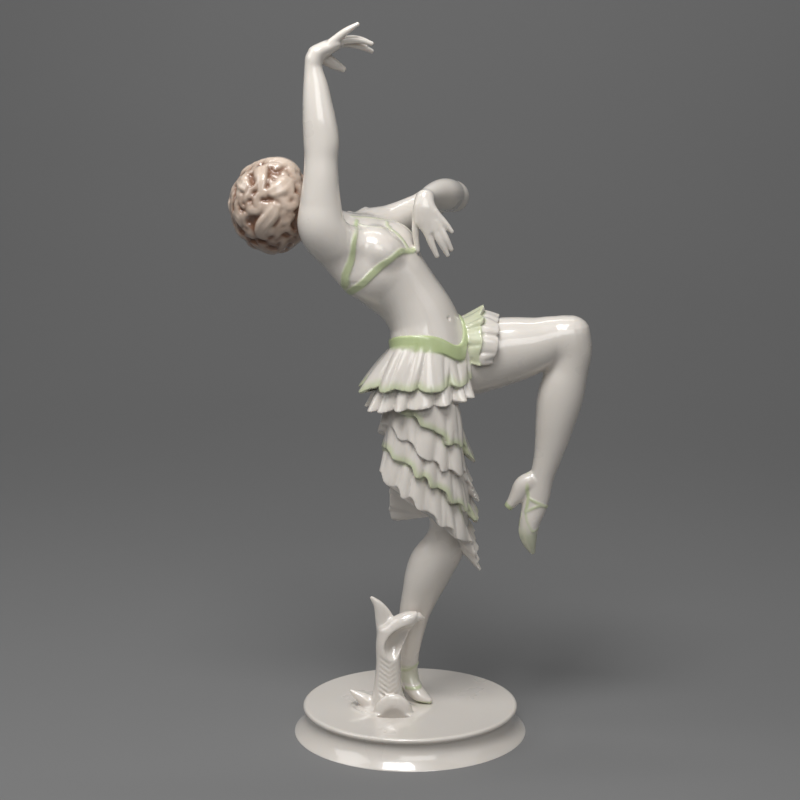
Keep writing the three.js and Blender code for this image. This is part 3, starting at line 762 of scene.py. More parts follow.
# The stump's parts, as stations.
STALK = [
    [-9.5, -9, 13, 12, 9],
    [-10.6, -9, 19, 9.6, 7.4],
    [-11.3, -9, 26, 7.6, 6.2],
    [-11.1, -9, 40, 6.3, 5.8],
    [-11.3, -9, 52, 6.1, 5.6],
    [-11.4, -9, 58, 5.2, 4.6],
]
STANDING_LEAF = [
    [-11.8, -6.5, 46, 5.4, 4],
    [-12, -6.5, 58, 5.2, 3.2],
    [-13.5, -6.5, 65, 4.5, 2.4],
    [-16.2, -6.5, 71, 2.6, 1.8],
    [-19.6, -6.5, 75, 0.9, 0.9],
]
# The curled leaf bends over to the right, and is hollow on its near side below a thick rim.
CURLED_LEAF = [
    [-10.6, -9, 44, 5.4, 5.2],
    [-9.6, -9, 51, 5.6, 5.6],
    [-7.3, -9, 58, 6.6, 5.4],
    [-1.6, -8.6, 63.6, 4.8, 4.8],
    [3.4, -8.2, 65.5, 2.6, 3.2],
    [7, -8, 64.4, 0.8, 0.9],
]
LEAF_HOLLOW = [
    [-8, -16.8, 44.6, 3, 3],
    [-8.4, -16, 50.6, 4.9, 7.4],
    [-5.2, -16, 55.6, 4.9, 8.2],
    [0.4, -15.6, 59.4, 3.8, 7.8],
    [4.8, -15, 61.4, 2.2, 6],
    [8.4, -14.4, 62.4, 1.4, 5],
]
# Veins rise from the stalk's middle line to both sides.
VEIN_HEIGHTS = [24, 26.6, 29.2, 31.8, 34.4, 37, 39.6, 42.2]
VEIN_ROOT = [-10.6, -15.4]
VEIN_REACH = [5, 1.6, 3.4]
# The arched leaf in front and its hollow, each as a middle and half sizes.
FRONT_LEAF = [[-8.6, -16.2, 14.8], [10.4, 3.6, 12.8]]
FRONT_HOLLOW = [[-8.4, -21.0, 14.0], [8.8, 2.7, 10.8]]
SIDE_LEAF = [
    [-16, -7, 15, 5.4, 5],
    [-21, -6.8, 19.6, 4, 4.2],
    [-25.6, -6.4, 22.6, 2.8, 3.2],
    [-30.6, -6, 25.8, 0.7, 0.8],
]
# The ripples of the ground: part ovals round this point, flatter along Y, with their long half sizes.
RIPPLE_MIDDLE = [-9, -7]
RIPPLES = [11.5, 14.5, 17.5, 20.5]
RIPPLE_FLATNESS = 0.7
RIPPLE_ARC = (0.75 * math.pi, 1.25 * math.pi)
RIPPLE_SUNK = 0.1


def ripple(wide):
    """One ripple of the ground."""
    x, y = RIPPLE_MIDDLE
    height = BASE_HEIGHT - RIPPLE_SUNK
    ring = [
        [x + wide * math.cos(a), y + RIPPLE_FLATNESS * wide * math.sin(a), height, 0.5, 0.7]
        for a in np.linspace(*RIPPLE_ARC, 14)
    ]
    return limb(ring, UP, sides=10)


def vein(height, side):
    """One vein of the stalk, on the side -1 or 1."""
    x, y = VEIN_ROOT
    out, back, rise = VEIN_REACH
    rows = [[x, y, height, 0.7], [x + out * side, y + back, height + rise, 0.6]]
    return round_limb(rows, ALONG_Y, sides=10, step=0.6)


def model_stump(clay):
    for wide in RIPPLES:
        clay.add(ripple(wide), blend=0.9)
    clay.add(limb(STALK, ALONG_X), blend=3.5)
    clay.add(limb(STANDING_LEAF, ALONG_X), blend=1.2)
    clay.add(limb(CURLED_LEAF, ALONG_X), blend=1.2)
    clay.cut(limb(LEAF_HOLLOW, ALONG_X), blend=0.7)
    for height in VEIN_HEIGHTS:
        for side in (-1, 1):
            clay.cut(vein(height, side), blend=0.9)
    clay.add(ball(*FRONT_LEAF), blend=0.8)
    clay.cut(ball(*FRONT_HOLLOW), blend=0.6)
    clay.add(limb(SIDE_LEAF, ALONG_X), blend=2)


def mirrored(rows):
    """Rows of head stations for both sides: the other side has the ear coordinate turned round."""
    return [rows, [[-row[0], *row[1:]] for row in rows]]


def head_rows(rows):
    """Rows of ear, face, crown and radius, as rows of a point and its radius."""
    return [[*on_head(*row[:3]), row[3]] for row in rows]


def head_limb(rows, sides=24):
    return round_limb(head_rows(rows), EARWARDS, sides, step=0.4)


def head_ball(at, half, segments=32):
    return ball(on_head(*at), half, HEAD_AXES, segments)


# The face, as stations of the head.
CRANIUM = [[0, -1.5, 3.6], [14.6, 17.4, 16.6]]
MASK = [[0, 2.6, -5], [11.6, 13.4, 16.2]]
CHIN = [[0, 12.0, -17.4], 3.5]
CHEEK = [[6.2, 10.6, -5.4], 4.8]
BROW = [[4.6, 14.0, 4.6], [5.4, 2.4, 2.0]]
SOCKET = [[5.5, 18.4, 0.8], [3.9, 3.6, 2.4]]
LID = [[5.3, 12.6, 0.2], [3.7, 3.3, 2.7]]
JAW = [[10.4, -1, -5, 3.4], [8.4, 5, -12, 3.4], [3.4, 11, -17.2, 3.2]]
NOSE = [[0, 14.8, 3.4, 1.2], [0, 16.6, -1.4, 1.25], [0, 18.9, -5.6, 1.5], [0, 19.0, -6.6, 1.5]]
NOSTRIL = [[1.75, 17.2, -7.0], 1.25]
NOSTRIL_HOLE = [[1.1, 17.8, -8.6], 0.6]
UPPER_LIP = [
    [-3.6, 14.6, -11.1, 0.4], [-1.5, 16.0, -10.7, 0.95], [0, 16.0, -11, 0.8], [1.5, 16.0, -10.7, 0.95],
    [3.6, 14.6, -11.1, 0.4],
]
LOWER_LIP = [[-3.3, 14.6, -11.6, 0.4], [0, 15.7, -12.9, 1.15], [3.3, 14.6, -11.6, 0.4]]
MOUTH = [
    [-3.9, 15.0, -11.2, 0.2], [-1.6, 16.7, -11.6, 0.28], [0, 16.9, -11.8, 0.28], [1.6, 16.7, -11.6, 0.28],
    [3.9, 15.0, -11.2, 0.2],
]
LASHES = [
    [2.2, 15.2, -0.6, 0.3], [3.8, 16.0, -1.5, 0.35], [5.6, 15.9, -1.9, 0.4], [7.4, 14.9, -1.6, 0.35],
    [8.7, 13.4, -0.7, 0.3],
]
LASH_GROOVE = 0.28
EYEBROW = [[2.4, 16.6, 4.1, 0.4], [5.0, 16.2, 5.3, 0.5], [7.6, 14.6, 5.4, 0.42], [9.6, 12.4, 4.2, 0.25]]


def model_brow_and_eyes(head):
    for side in (-1, 1):
        flip = np.array([side, 1, 1])
        head.add(head_ball(flip * CHEEK[0], CHEEK[1]), blend=4)
        head.add(head_ball(flip * BROW[0], BROW[1]), blend=3)
        head.cut(head_ball(flip * SOCKET[0], SOCKET[1]), blend=2.4)
        head.add(head_ball(flip * LID[0], LID[1]), blend=0.8)
    for rows in mirrored(LASHES):
        head.cut(head_limb([[*row[:3], LASH_GROOVE] for row in rows], sides=10), blend=0.5)


def model_nose_and_mouth(head):
    head.add(head_limb(NOSE), blend=1.8)
    for side in (-1, 1):
        flip = np.array([side, 1, 1])
        head.add(head_ball(flip * NOSTRIL[0], NOSTRIL[1], segments=20), blend=1.0)
        head.cut(head_ball(flip * NOSTRIL_HOLE[0], NOSTRIL_HOLE[1], segments=14), blend=0.5)
    head.add(head_limb(UPPER_LIP, sides=16), blend=0.9)
    head.add(head_limb(LOWER_LIP, sides=16), blend=0.9)
    head.cut(head_limb(MOUTH, sides=10), blend=0.5)


def model_head(clay):
    head = clay.like()
    head.add(head_ball(*CRANIUM, segments=56))
    head.add(head_ball(*MASK, segments=56), blend=4)
    for rows in mirrored(JAW):
        head.add(head_limb(rows), blend=3)
    head.add(head_ball(*CHIN), blend=3)
    model_brow_and_eyes(head)
    model_nose_and_mouth(head)
    clay.depth = join(clay.depth, head.depth, 1.6)


# The elbow of the bent arm, as a middle and a radius.
ELBOW = [22.5, 42.8, 272.4]
ELBOW_ROUND = 7.2

# Slight forms of the trunk and the knee: where they lie, and their half width there.
COLLARBONE = [[-31, 8, 266, 1.2], [-27, 14, 266, 1.2], [-24, 20, 266, 0.9]]
NAVEL = [17, -5, 216.6, 0.9]
SPINE_STATIONS = range(4, 10)
SPINE_WIDTH = 1.5
SPINE_SUNK = 0.7
KNEECAP = [[83.2, 15.6, 205.4], [4.8, 5.6, 6.4]]


def spine_rows():
    """The furrow down the middle of the back."""
    rows = np.array(TORSO, float)
    along = unit(np.gradient(rows[:, :3], axis=0))
    behind = unit(np.cross(along, LEFTWARDS))
    behind = behind * np.sign(-behind[:, :1])
    reach = rows[:, 4:5] + SPINE_SUNK
    spots = (rows[:, :3] + behind * reach)[list(SPINE_STATIONS)]
    return [[*spot, SPINE_WIDTH] for spot in spots]


# The bands of the top: points on the body and half widths.
SIDE_BAND = [
    [-26.3, -12, 266.7, 0.9], [-27.2, -17, 256.5, 1.6], [-28.5, -19, 247.8, 1.8], [-31.3, -15, 239.2, 2.1],
    [-31.6, -9, 234.6, 2.3], [-31, -3, 231.5, 2.4],
]
LOWER_BAND = [
    [3, 4, 251, 1.2], [1.2, -6, 251, 1.5], [-5.3, -12, 250.4, 1.7], [-12.4, -16, 245.4, 1.9],
    [-18.7, -17, 240.2, 2.0], [-24.6, -12.2, 233.6, 2.1], [-28.4, -7, 230.4, 2.2],
    [-31, 0, 231.6, 2.4], [-30.6, 9, 234.4, 2.2], [-26, 17, 238.4, 2.1], [-18, 21, 242.6, 2.0],
    [-8, 19.4, 247.4, 2.0], [-1, 12, 250.6, 1.6], [3, 6, 251, 1.2],
]
NECK_STRAP = [
    [-28.7, -6, 267.5, 0.8], [-19, 4, 265.6, 0.9], [-11.7, 10, 263.1, 1.0], [-5.3, 12, 261.5, 1.0],
    [0.1, 10, 259.5, 0.9], [2, 8, 255, 0.8],
]
CUP_STRAP = [
    [-12, 6, 263.4, 0.8], [-9, -1, 262.6, 1.1], [-5.8, -3, 258.6, 1.3], [-3.5, -4, 254.9, 1.3],
    [-1.7, -5, 252, 1.4],
]
CUP_EDGE = [
    [-26.4, -9, 264.6, 0.6], [-21.5, -9, 262.8, 0.7], [-14.3, -8, 261.8, 0.7], [-9.8, -5.2, 262.7, 0.6],
]
BANDS = [SIDE_BAND, LOWER_BAND, NECK_STRAP, CUP_STRAP, CUP_EDGE]
BAND_PAINT = [0.8, 0.8, 0.55, 0.7, 0.45]
LIP_PAINT = 0.75
BAND_PROUD = 0.35

# A point nearer than NEAR_SIDE_Y is moved onto the body along SIGHT, the camera's direction.
SIGHT = unit([0, 0.982, -0.191])
NEAR_SIDE_Y = -5.0
SEARCH = np.arange(-12, 12, 0.25)


def on_skin(clay, rows, core):
    """Rows moved onto the body: the near ones along the line of sight, others towards a limb's middle."""
    trunk = spline(core, 1.0)[:, :3]
    moved = []
    for x, y, z, wide in rows:
        at = np.array([x, y, z])
        middle = trunk[np.argmin(np.linalg.norm(trunk - at, axis=1))]
        aim = SIGHT if y < NEAR_SIDE_Y else unit(middle - at)
        way = at + aim * SEARCH[:, None]
        moved.append([*way[np.argmax(look_up(clay, clay.depth, way) < 0)], wide])
    return moved


def band(rows):
    return round_limb(rows, UP, sides=20, step=0.8)


def raise_bands(clay, lines):
    """Bands that stand a little out of the clay, along lines on it."""
    bare = clay.depth.copy()
    for rows in lines:
        where, tube = clay.read(band(rows))
        strip = -join(-(bare[where] - BAND_PROUD), -tube, 0.5)
        clay.depth[where] = join(clay.depth[where], strip, 0.3)


# How far the torso and the legs go on under the belt.
SEAM_LAP = 0.6


def model_left_arm(clay):
    """The bent arm on its own, so that it joins the body only where they meet."""
    arm = clay.like()
    arm.add(limb(LEFT_UPPER_ARM, UP, sides=48))
    arm.add(limb(LEFT_FOREARM, UP, sides=48), blend=3)
    arm.add(ball(ELBOW, ELBOW_ROUND), blend=2.5)
    arm.add(limb(LEFT_PALM, ALONG_X), blend=2)
    for joints in LEFT_FINGERS:
        arm.add(finger(joints, ALONG_X), blend=1)
    clay.depth = join(clay.depth, arm.depth, 2)


def model_right_arm(clay):
    clay.add(limb(RIGHT_ARM, ALONG_X, sides=48), blend=4)
    clay.add(limb(SHOULDER_BLADE_SIDE, ALONG_Y, sides=48), blend=5)
    clay.add(limb(CHEST_SIDE, UP, sides=48), blend=4)


def model_right_hand(clay):
    clay.add(limb(RIGHT_PALM, ALONG_Y), blend=2)
    for joints in RIGHT_FINGERS:
        clay.add(finger(joints, ALONG_Y), blend=1)


def model_slight_forms(clay):
    """The collarbone, the furrow of the back and the navel."""
    clay.add(band(on_skin(clay, COLLARBONE, TORSO)), blend=2.5)
    clay.cut(band(on_skin(clay, spine_rows(), TORSO)), blend=2.5)
    x, y, z, wide = on_skin(clay, [NAVEL], TORSO)[0]
    clay.cut(ball([x, y, z], wide, segments=20), blend=1.0)


def paint_torso(made, bands):
    """The masks of the bands, the lips, and the brows and lashes."""
    points = vertices(made)
    paints = line_paint(points, bands, 0.7)
    keep_mask(made, "green", strongest([share * paint for share, paint in zip(BAND_PAINT, paints)]))
    lips = [head_rows(UPPER_LIP), head_rows(LOWER_LIP)]
    keep_mask(made, "red", LIP_PAINT * strongest(line_paint(points, lips, 0.3)))
    hairs = [head_rows(rows) for rows in mirrored(LASHES) + mirrored(EYEBROW)]
    keep_mask(made, "dark", strongest(line_paint(points, hairs, 0.25)))


def model_torso():
    clay = Clay((-90, -34, 190), (36, 56, 363), voxel=0.5)
    model_body(clay)
    for breast in BREASTS:
        clay.add(ball(breast, BREAST_HALF, BREAST_AXES, segments=56), blend=4)
    clay.depth = np.maximum(clay.depth, -above_belt(clay) - SEAM_LAP)
    clay.add(limb(NECK, UP), blend=4)
    model_right_arm(clay)
    model_left_arm(clay)
    model_right_hand(clay)
    model_head(clay)
    model_slight_forms(clay)
    bands = [on_skin(clay, rows, TORSO) for rows in BANDS]
    raise_bands(clay, bands)
    made = clay.mesh("dancer_torso", most=190000)
    paint_torso(made, bands)
    # The hollows of the body, where painted shade darkens them.
    keep_mask(made, "hollow", hollows(clay, vertices(made)))
    return made


def model_body(clay):
    """The trunk and both thighs in one, for the pieces that share them."""
    clay.add(limb(TORSO, LEFTWARDS, sides=64))
    clay.add(limb(RIGHT_LEG, ALONG_X, sides=56), blend=4)
    thigh = clay.like()
    thigh.add(limb(LEFT_THIGH, UP, sides=56))
    clay.depth = join(clay.depth, thigh.depth, 4)


def above_belt(clay):
    """How far each voxel is above the middle of the belt."""
    x, y, z = clay.places(clay.all())
    return z - belt_line(x, y)


# The shoes' straps and edges, as points and half widths. Those of the raised shoe are the same on both sides.
RAISED_MIDDLE = 15.0
RAISED_STRAPS = [
    [[60, 15, 134.2, 0.9], [59.3, 11.4, 128, 1.0], [59.9, 11.4, 121.6, 1.0], [58.8, 11.2, 115, 0.9]],
    [[60.2, 11.4, 122, 0.9], [64.9, 10.6, 119.6, 0.9], [69.2, 13, 117.2, 1.0], [70.2, 15, 116.8, 1.0]],
    [[59.2, 11.2, 115, 0.9], [62.4, 10.4, 117, 0.8], [66, 10.8, 118.2, 0.8], [69.4, 13.2, 117, 0.8]],
    [
        [58.8, 11.2, 115, 0.7], [60.0, 10, 109, 0.8], [62.4, 10, 105, 0.9], [64.6, 12, 106, 0.8],
        [65.4, 15, 107, 0.8],
    ],
    [
        [56.4, 13, 114, 0.6], [55.2, 12.6, 106, 0.6], [56.4, 12.6, 101, 0.6], [60, 13.4, 95.6, 0.6],
        [63, 15, 92.4, 0.6],
    ],
]
STANDING_STRAPS = [
    [
        [-7.4, 8.4, 36, 0.8], [-5.4, -6, 35.8, 0.9], [-1, -6, 35.6, 0.9], [4, 5, 35.8, 0.9], [4, 9, 36, 0.9],
        [0, 14.4, 36, 0.8],
    ],
    [[-5, -6, 26.6, 0.9], [-2, -6, 26.2, 1.0], [1.6, -6, 26, 1.0], [4.4, -6, 26.4, 1.0], [6.4, 6, 26.6, 0.9]],
]

# The paint of the shoes: where it fades from none to full, where it is kept to, and how strong it is.
STRAP_PAINT = 0.75
HEEL_END = [49.8, 15.0, 116.4]
HEEL_TURN = unit([-0.65, 0, -0.76])
HEEL_FADE = (-2.6, -1.2)
HEEL_KEPT = {"x": (44, 56), "z": (107, 125)}
HEEL_PAINT = 0.8
TOE_FADE = {"x": (62.5, 58.5), "z": (112, 100)}
TOE_TIP_FADE = (106, 102)
TOE_KEPT = {"x": (50, 100), "z": (90, 120)}
TOE_PAINT = 0.45
ANKLE_FADES = [(26.5, 28), (36.4, 35.4)]
ANKLE_KEPT = {"x": (-20, 12), "z": (20, 40)}
ANKLE_PAINT = 0.3
SOLE_FADE = (19.6, 18.9)
SOLE_PAINT = 0.7


def both_sides(rows, middle):
    """A line and its mirror image across a level at that Y."""
    return [rows, [[x, 2 * middle - y, *rest] for x, y, *rest in rows]]


def within(x, z, kept):
    """1 inside a window of X and Z, and 0 outside it."""
    (left, right), (low, high) = kept["x"], kept["z"]
    return (x > left) * (x < right) * (z > low) * (z < high)


def shoe_lines(clay):
    """The straps and edges of both shoes, on their surfaces."""
    lines = [on_skin(clay, rows, RIGHT_FOOT) for rows in STANDING_STRAPS]
    for rows in RAISED_STRAPS:
        lines += both_sides(rows, RAISED_MIDDLE)
    return lines


def shoe_paint(points, lines):
    """Paint on the straps, the raised heel and toe, the ankle of the standing shoe and its sole."""
    x, _, z = points.T
    straps = STRAP_PAINT * strongest(line_paint(points, lines, 0.5))
    heel = smooth(*HEEL_FADE, (points - HEEL_END) @ HEEL_TURN) * within(x, z, HEEL_KEPT)
    toe = smooth(*TOE_FADE["z"], z) * smooth(*TOE_FADE["x"], x)
    toe = np.maximum(toe, smooth(*TOE_TIP_FADE, z)) * within(x, z, TOE_KEPT)
    ankle = smooth(*ANKLE_FADES[0], z) * smooth(*ANKLE_FADES[1], z) * within(x, z, ANKLE_KEPT)
    sole = smooth(*SOLE_FADE, z)
    return strongest([straps, HEEL_PAINT * heel, TOE_PAINT * toe, ANKLE_PAINT * ankle, SOLE_PAINT * sole])


def model_legs():
    clay = Clay((-16, -26, 14), (96, 36, 216), voxel=0.5)
    model_body(clay)
    clay.depth = np.maximum(clay.depth, above_belt(clay) - SEAM_LAP)
    clay.add(limb(RIGHT_FOOT, LEFTWARDS), blend=2)
    clay.add(limb(RIGHT_HEEL, ALONG_X), blend=1)
    shin = clay.like()
    shin.add(limb(LEFT_SHIN, ALONG_X))
    shin.add(ball(*KNEECAP), blend=4)
    clay.depth = join(clay.depth, shin.depth, 3)
    clay.add(limb(LEFT_HEEL, ALONG_X, dome=0.25), blend=1.5)
    lines = shoe_lines(clay)
    raise_bands(clay, lines)
    made = clay.mesh("dancer_legs", most=190000)
    keep_mask(made, "green", shoe_paint(vertices(made), lines))
    # The hollows of the legs, where painted shade darkens them.
    keep_mask(made, "hollow", hollows(clay, vertices(made)))
    return made


# The flounces of the hips start on an oval at the belt. Each hem is an oval too: its middle, its half sizes
# forwards and to the left, its height and slope along X, and its part of a turn.
HIP_WAIST = [17.6, 22]
HIP_WAIST_MIDDLE = np.array([8.8, 4, 0])
HIP_WAIST_DROP = 1.5
HIP_FLOUNCES = [
    {
        "middle": np.array([2.6, 2.6, 0]), "half": [27, 25.4], "hem": 184.6, "tilt": 0.1,
        "arc": (-1.36, 0.1), "pleat": (9.4, 0.9), "scallop": (13.4, 1.9, 1.7), "swell": 0.6,
        "shift": 0.4, "ragged": 0.6, "lean": 1.05, "crisp": 0.45,
    },
    {
        "middle": np.array([5, 1.2, 0]), "half": [25.8, 24], "hem": 174.8, "tilt": 0.16,
        "arc": (-1.34, 0.09), "pleat": (8.4, 0.6), "scallop": (10.4, 2.8, 0.8), "swell": 0.6,
        "shift": 2.2, "ragged": 0.35, "lean": 1.5, "thick": 2.3,
    },
]

# The tail's tiers: the hem's stations round the leg, from the near left by the right corner and the far side.
TAIL_TIERS = [
    [
        [-12, -8, 176], [-2, -18.5, 172], [7, -22, 167], [15.5, -22, 160], [23, -19, 155.4], [25.4, -10, 154],
        [31, -2, 143.5], [27, 8, 150], [18, 15, 156], [4, 15.5, 166], [-9, 8, 174],
    ],
    [
        [-11.5, -9, 164.6], [-3, -18, 158.8], [5, -21.6, 153], [14, -21.8, 146], [23.6, -19, 141.4],
        [26, -10, 140], [33.4, -3, 124.2], [29, 8, 132], [18, 15.4, 141], [4, 15, 152], [-9.6, 9, 160],
        [-14.4, 3, 157.4],
    ],
    [
        [-12.5, -9, 152.8], [-5, -17, 147.8], [4, -21.4, 141.6], [12.5, -21.8, 135.4], [21, -20, 127.8],
        [27, -15, 122], [27.6, -8, 122], [33.8, -3, 113], [29.6, 8, 122], [18, 15.4, 130], [3, 16, 138],
        [-10, 8, 146],
    ],
    [
        [-14.8, -7, 140.4], [-9, -15, 135], [0, -20, 129], [9, -21.4, 122], [18, -20.4, 114.4],
        [26.6, -16, 107], [31.4, -11, 101.6], [34.4, -6, 89], [31, 6, 106], [19, 15, 113], [4, 16, 113],
        [-8.4, 11, 111.6], [-9.6, 2, 132],
    ],
]
# Each tier starts above its hem by its rise, and nearer to the leg by its share, under the flounces.
TAIL_LEG = np.array([12, -2.5, 0])
TAIL_RISE = [20, 21, 22, 23]
TAIL_SHARE = [0.84, 0.8, 0.79, 0.77]
TAIL_TOP_RIGHT = 22.6
TAIL_TOP = 192
TAIL_SHIFT = 1.3
TAIL_FOLDS = {"pleat": (10.4, 0.8), "scallop": (12.6, 1.1, 1.8), "swell": 0.8, "steps": True}

# The frills round the raised thigh: half sizes across and along Y, where each starts and ends along X.
THIGH_MIDDLE = np.array([0, 15, 198.4])
THIGH_START = [15.8, 15.4]
THIGH_FRILLS = [
    {
        "half": [21.4, 19.6], "from": 25.2, "to": 34.2, "arc": (-0.575, 0.7), "tilt": 0.08,
        "pleat": (7.4, 0.6), "scallop": (12.5, 1.3, 1.0), "shift": 0.3,
    },
    {
        "half": [15.6, 18], "from": 29.6, "to": 41.4, "arc": (-0.59, 0.7), "tilt": 0.14,
        "pleat": (7.0, 0.6), "scallop": (10.5, 0.9, 1.0), "swell": 2.6, "shift": 1.9, "ragged": 0.3,
        "thick": 1.9,
    },
]


def oval(middle, half, turn, u, v):
    """The points of an oval at those turns, with its half sizes along u and v."""
    return middle + np.outer(half[0] * np.cos(turn), u) + np.outer(half[1] * np.sin(turn), v)


def hip_flounce(own):
    turn = np.linspace(own["arc"][0] * math.pi, own["arc"][1] * math.pi, 420)
    top = oval(HIP_WAIST_MIDDLE, HIP_WAIST, turn, FORWARDS, LEFTWARDS)
    top[:, 2] = belt_line(top[:, 0], top[:, 1]) - HIP_WAIST_DROP
    hem = oval(own["middle"], own["half"], turn, FORWARDS, LEFTWARDS)
    hem[:, 2] = own["hem"] + own["tilt"] * hem[:, 0]
    return cloth(top, hem, own)


def tail_tier(level):
    hem = ring_curve(TAIL_TIERS[level], 520)
    hem = np.vstack([hem, hem[:3]])
    top = TAIL_LEG + (hem - TAIL_LEG) * TAIL_SHARE[level]
    top[:, 0] = np.minimum(top[:, 0], TAIL_TOP_RIGHT)
    top[:, 2] = np.minimum(hem[:, 2] + TAIL_RISE[level], TAIL_TOP)
    return cloth(top, hem, {**TAIL_FOLDS, "shift": TAIL_SHIFT * level})


def thigh_frill(own):
    turn = np.linspace(own["arc"][0] * math.pi, own["arc"][1] * math.pi, 320)
    top = oval(THIGH_MIDDLE, THIGH_START, turn, UP, ALONG_Y)
    top[:, 0] = own["from"]
    hem = oval(THIGH_MIDDLE, own["half"], turn, UP, ALONG_Y)
    hem[:, 0] = own["to"] + own["tilt"] * (hem[:, 2] - THIGH_MIDDLE[2])
    out = unit(hem - THIGH_MIDDLE - np.outer(hem[:, 0], ALONG_X))
    return cloth(top, hem, own, down=ALONG_X, out=out)


# The painted hems: how far the paint fades up, and how strong it is.
GREEN_HEMS = {
    ("hip", 0): (4.4, 0.6),
    ("thigh", 0): (15.0, 0.55),
    ("tail", 0): (3.4, 0.6),
    ("tail", 2): (3.4, 0.6),
}


SKIRT_CORE_SUNK = 0.7
SKIRT_CORE_FOOT = 88


def add_belt(clay, body):
    """The belt round the body, and the body itself below it, a little sunk."""
    x, y, z = clay.places(clay.all())
    belt = np.abs(z - belt_line(x, y)) - BELT_HALF
    clay.depth = -join(-(body.depth - BELT_PROUD), -belt, 0.8)
    below = np.maximum(z - belt_line(x, y), SKIRT_CORE_FOOT - z)
    clay.depth = np.minimum(clay.depth, np.maximum(body.depth + SKIRT_CORE_SUNK, below))


def add_sheets(clay):
    """The flounces, frills and tiers of the tail, and the grids of their middle surfaces."""
    made = {("hip", i): (*hip_flounce(own), 0.6) for i, own in enumerate(HIP_FLOUNCES)}
    made |= {("thigh", i): (*thigh_frill(own), 0.6) for i, own in enumerate(THIGH_FRILLS)}
    made |= {("tail", level): (*tail_tier(level), 0.5) for level in range(len(TAIL_TIERS))}
    for form, _, blend in made.values():
        clay.add(form, blend)
    return {key: grid for key, (_, grid, _) in made.items()}


def belt_paint(points, body):
    x, y, z = points.T
    off_belt = np.abs(z - belt_line(x, y))
    on_body = look_up(body, body.depth, points)
    return smooth(1.7, 0.9, on_body) * smooth(BELT_HALF + 1.4, BELT_HALF - 0.6, off_belt)


def model_skirt():
    clay = Clay((-36, -34, 80), (56, 46, 228), voxel=0.45)
    body = clay.like()
    model_body(body)
    add_belt(clay, body)
    sheets = add_sheets(clay)
    made = clay.mesh("skirt", most=190000)
    points = vertices(made)
    paints = [belt_paint(points, body)]
    for key, (width, strength) in GREEN_HEMS.items():
        paints.append(strength * hem_paint(points, sheets[key], width))
    keep_mask(made, "green", strongest(paints))
    # The hollows of the skirt's folds, where painted shade darkens them.
    keep_mask(made, "hollow", hollows(clay, points))
    return made


# The hair is an oval behind the face, with a cap over the brow. HAIR_BACK and HAIR_UP place its middle.
HAIR_HALF = np.array([23.6, 19.4, 20.8])
HAIR_BACK = 5.4
HAIR_UP = 1.4
HAIR_MIDDLE = on_head(0, -HAIR_BACK, HAIR_UP)
HAIR_CAP = [[0, -1.5, 3.6], [16.0, 18.2, 17.8]]
FACE_WINDOW = [[0, 17, -5.5], [9.4, 9.5, 15.0]]

# How far the oval lies below the hair's outline, and how far the middles of the locks do.
HAIR_RECESS = 2.1
HAIR_SUNK = 2.45
CAP_RECESS = 0.8
CAP_SUNK = 0.6

# A lock is two strands side by side, each narrower than the lock and standing up by STRAND_HEIGHT.
STRANDS = (-0.45, 0.4)
STRAND_WIDTH = 0.76
STRAND_HEIGHT = 0.9

# The other locks are spread evenly. Each curls one way in short steps: sizes in millimetres, steps and bends
# as parts of the oval's size. Those of the near side are smaller, by NEAR_SHARE.
OTHER_LOCKS = 180
LOCK_STEPS = 7
LOCK_STEP = (0.055, 0.085)
LOCK_BEND = (0.2, 0.5)
LOCK_HALF = (1.1, 2.9)
NEAR_SIDE = -0.42
NEAR_SHARE = 0.72

# How deep in the hair its brown glaze gathers, and how low it darkens: darker paint and painted shade.
BROWN_DEPTHS = (1.03, 0.94)
BROWN_AND_SHADE_HEIGHTS = (268, 248)

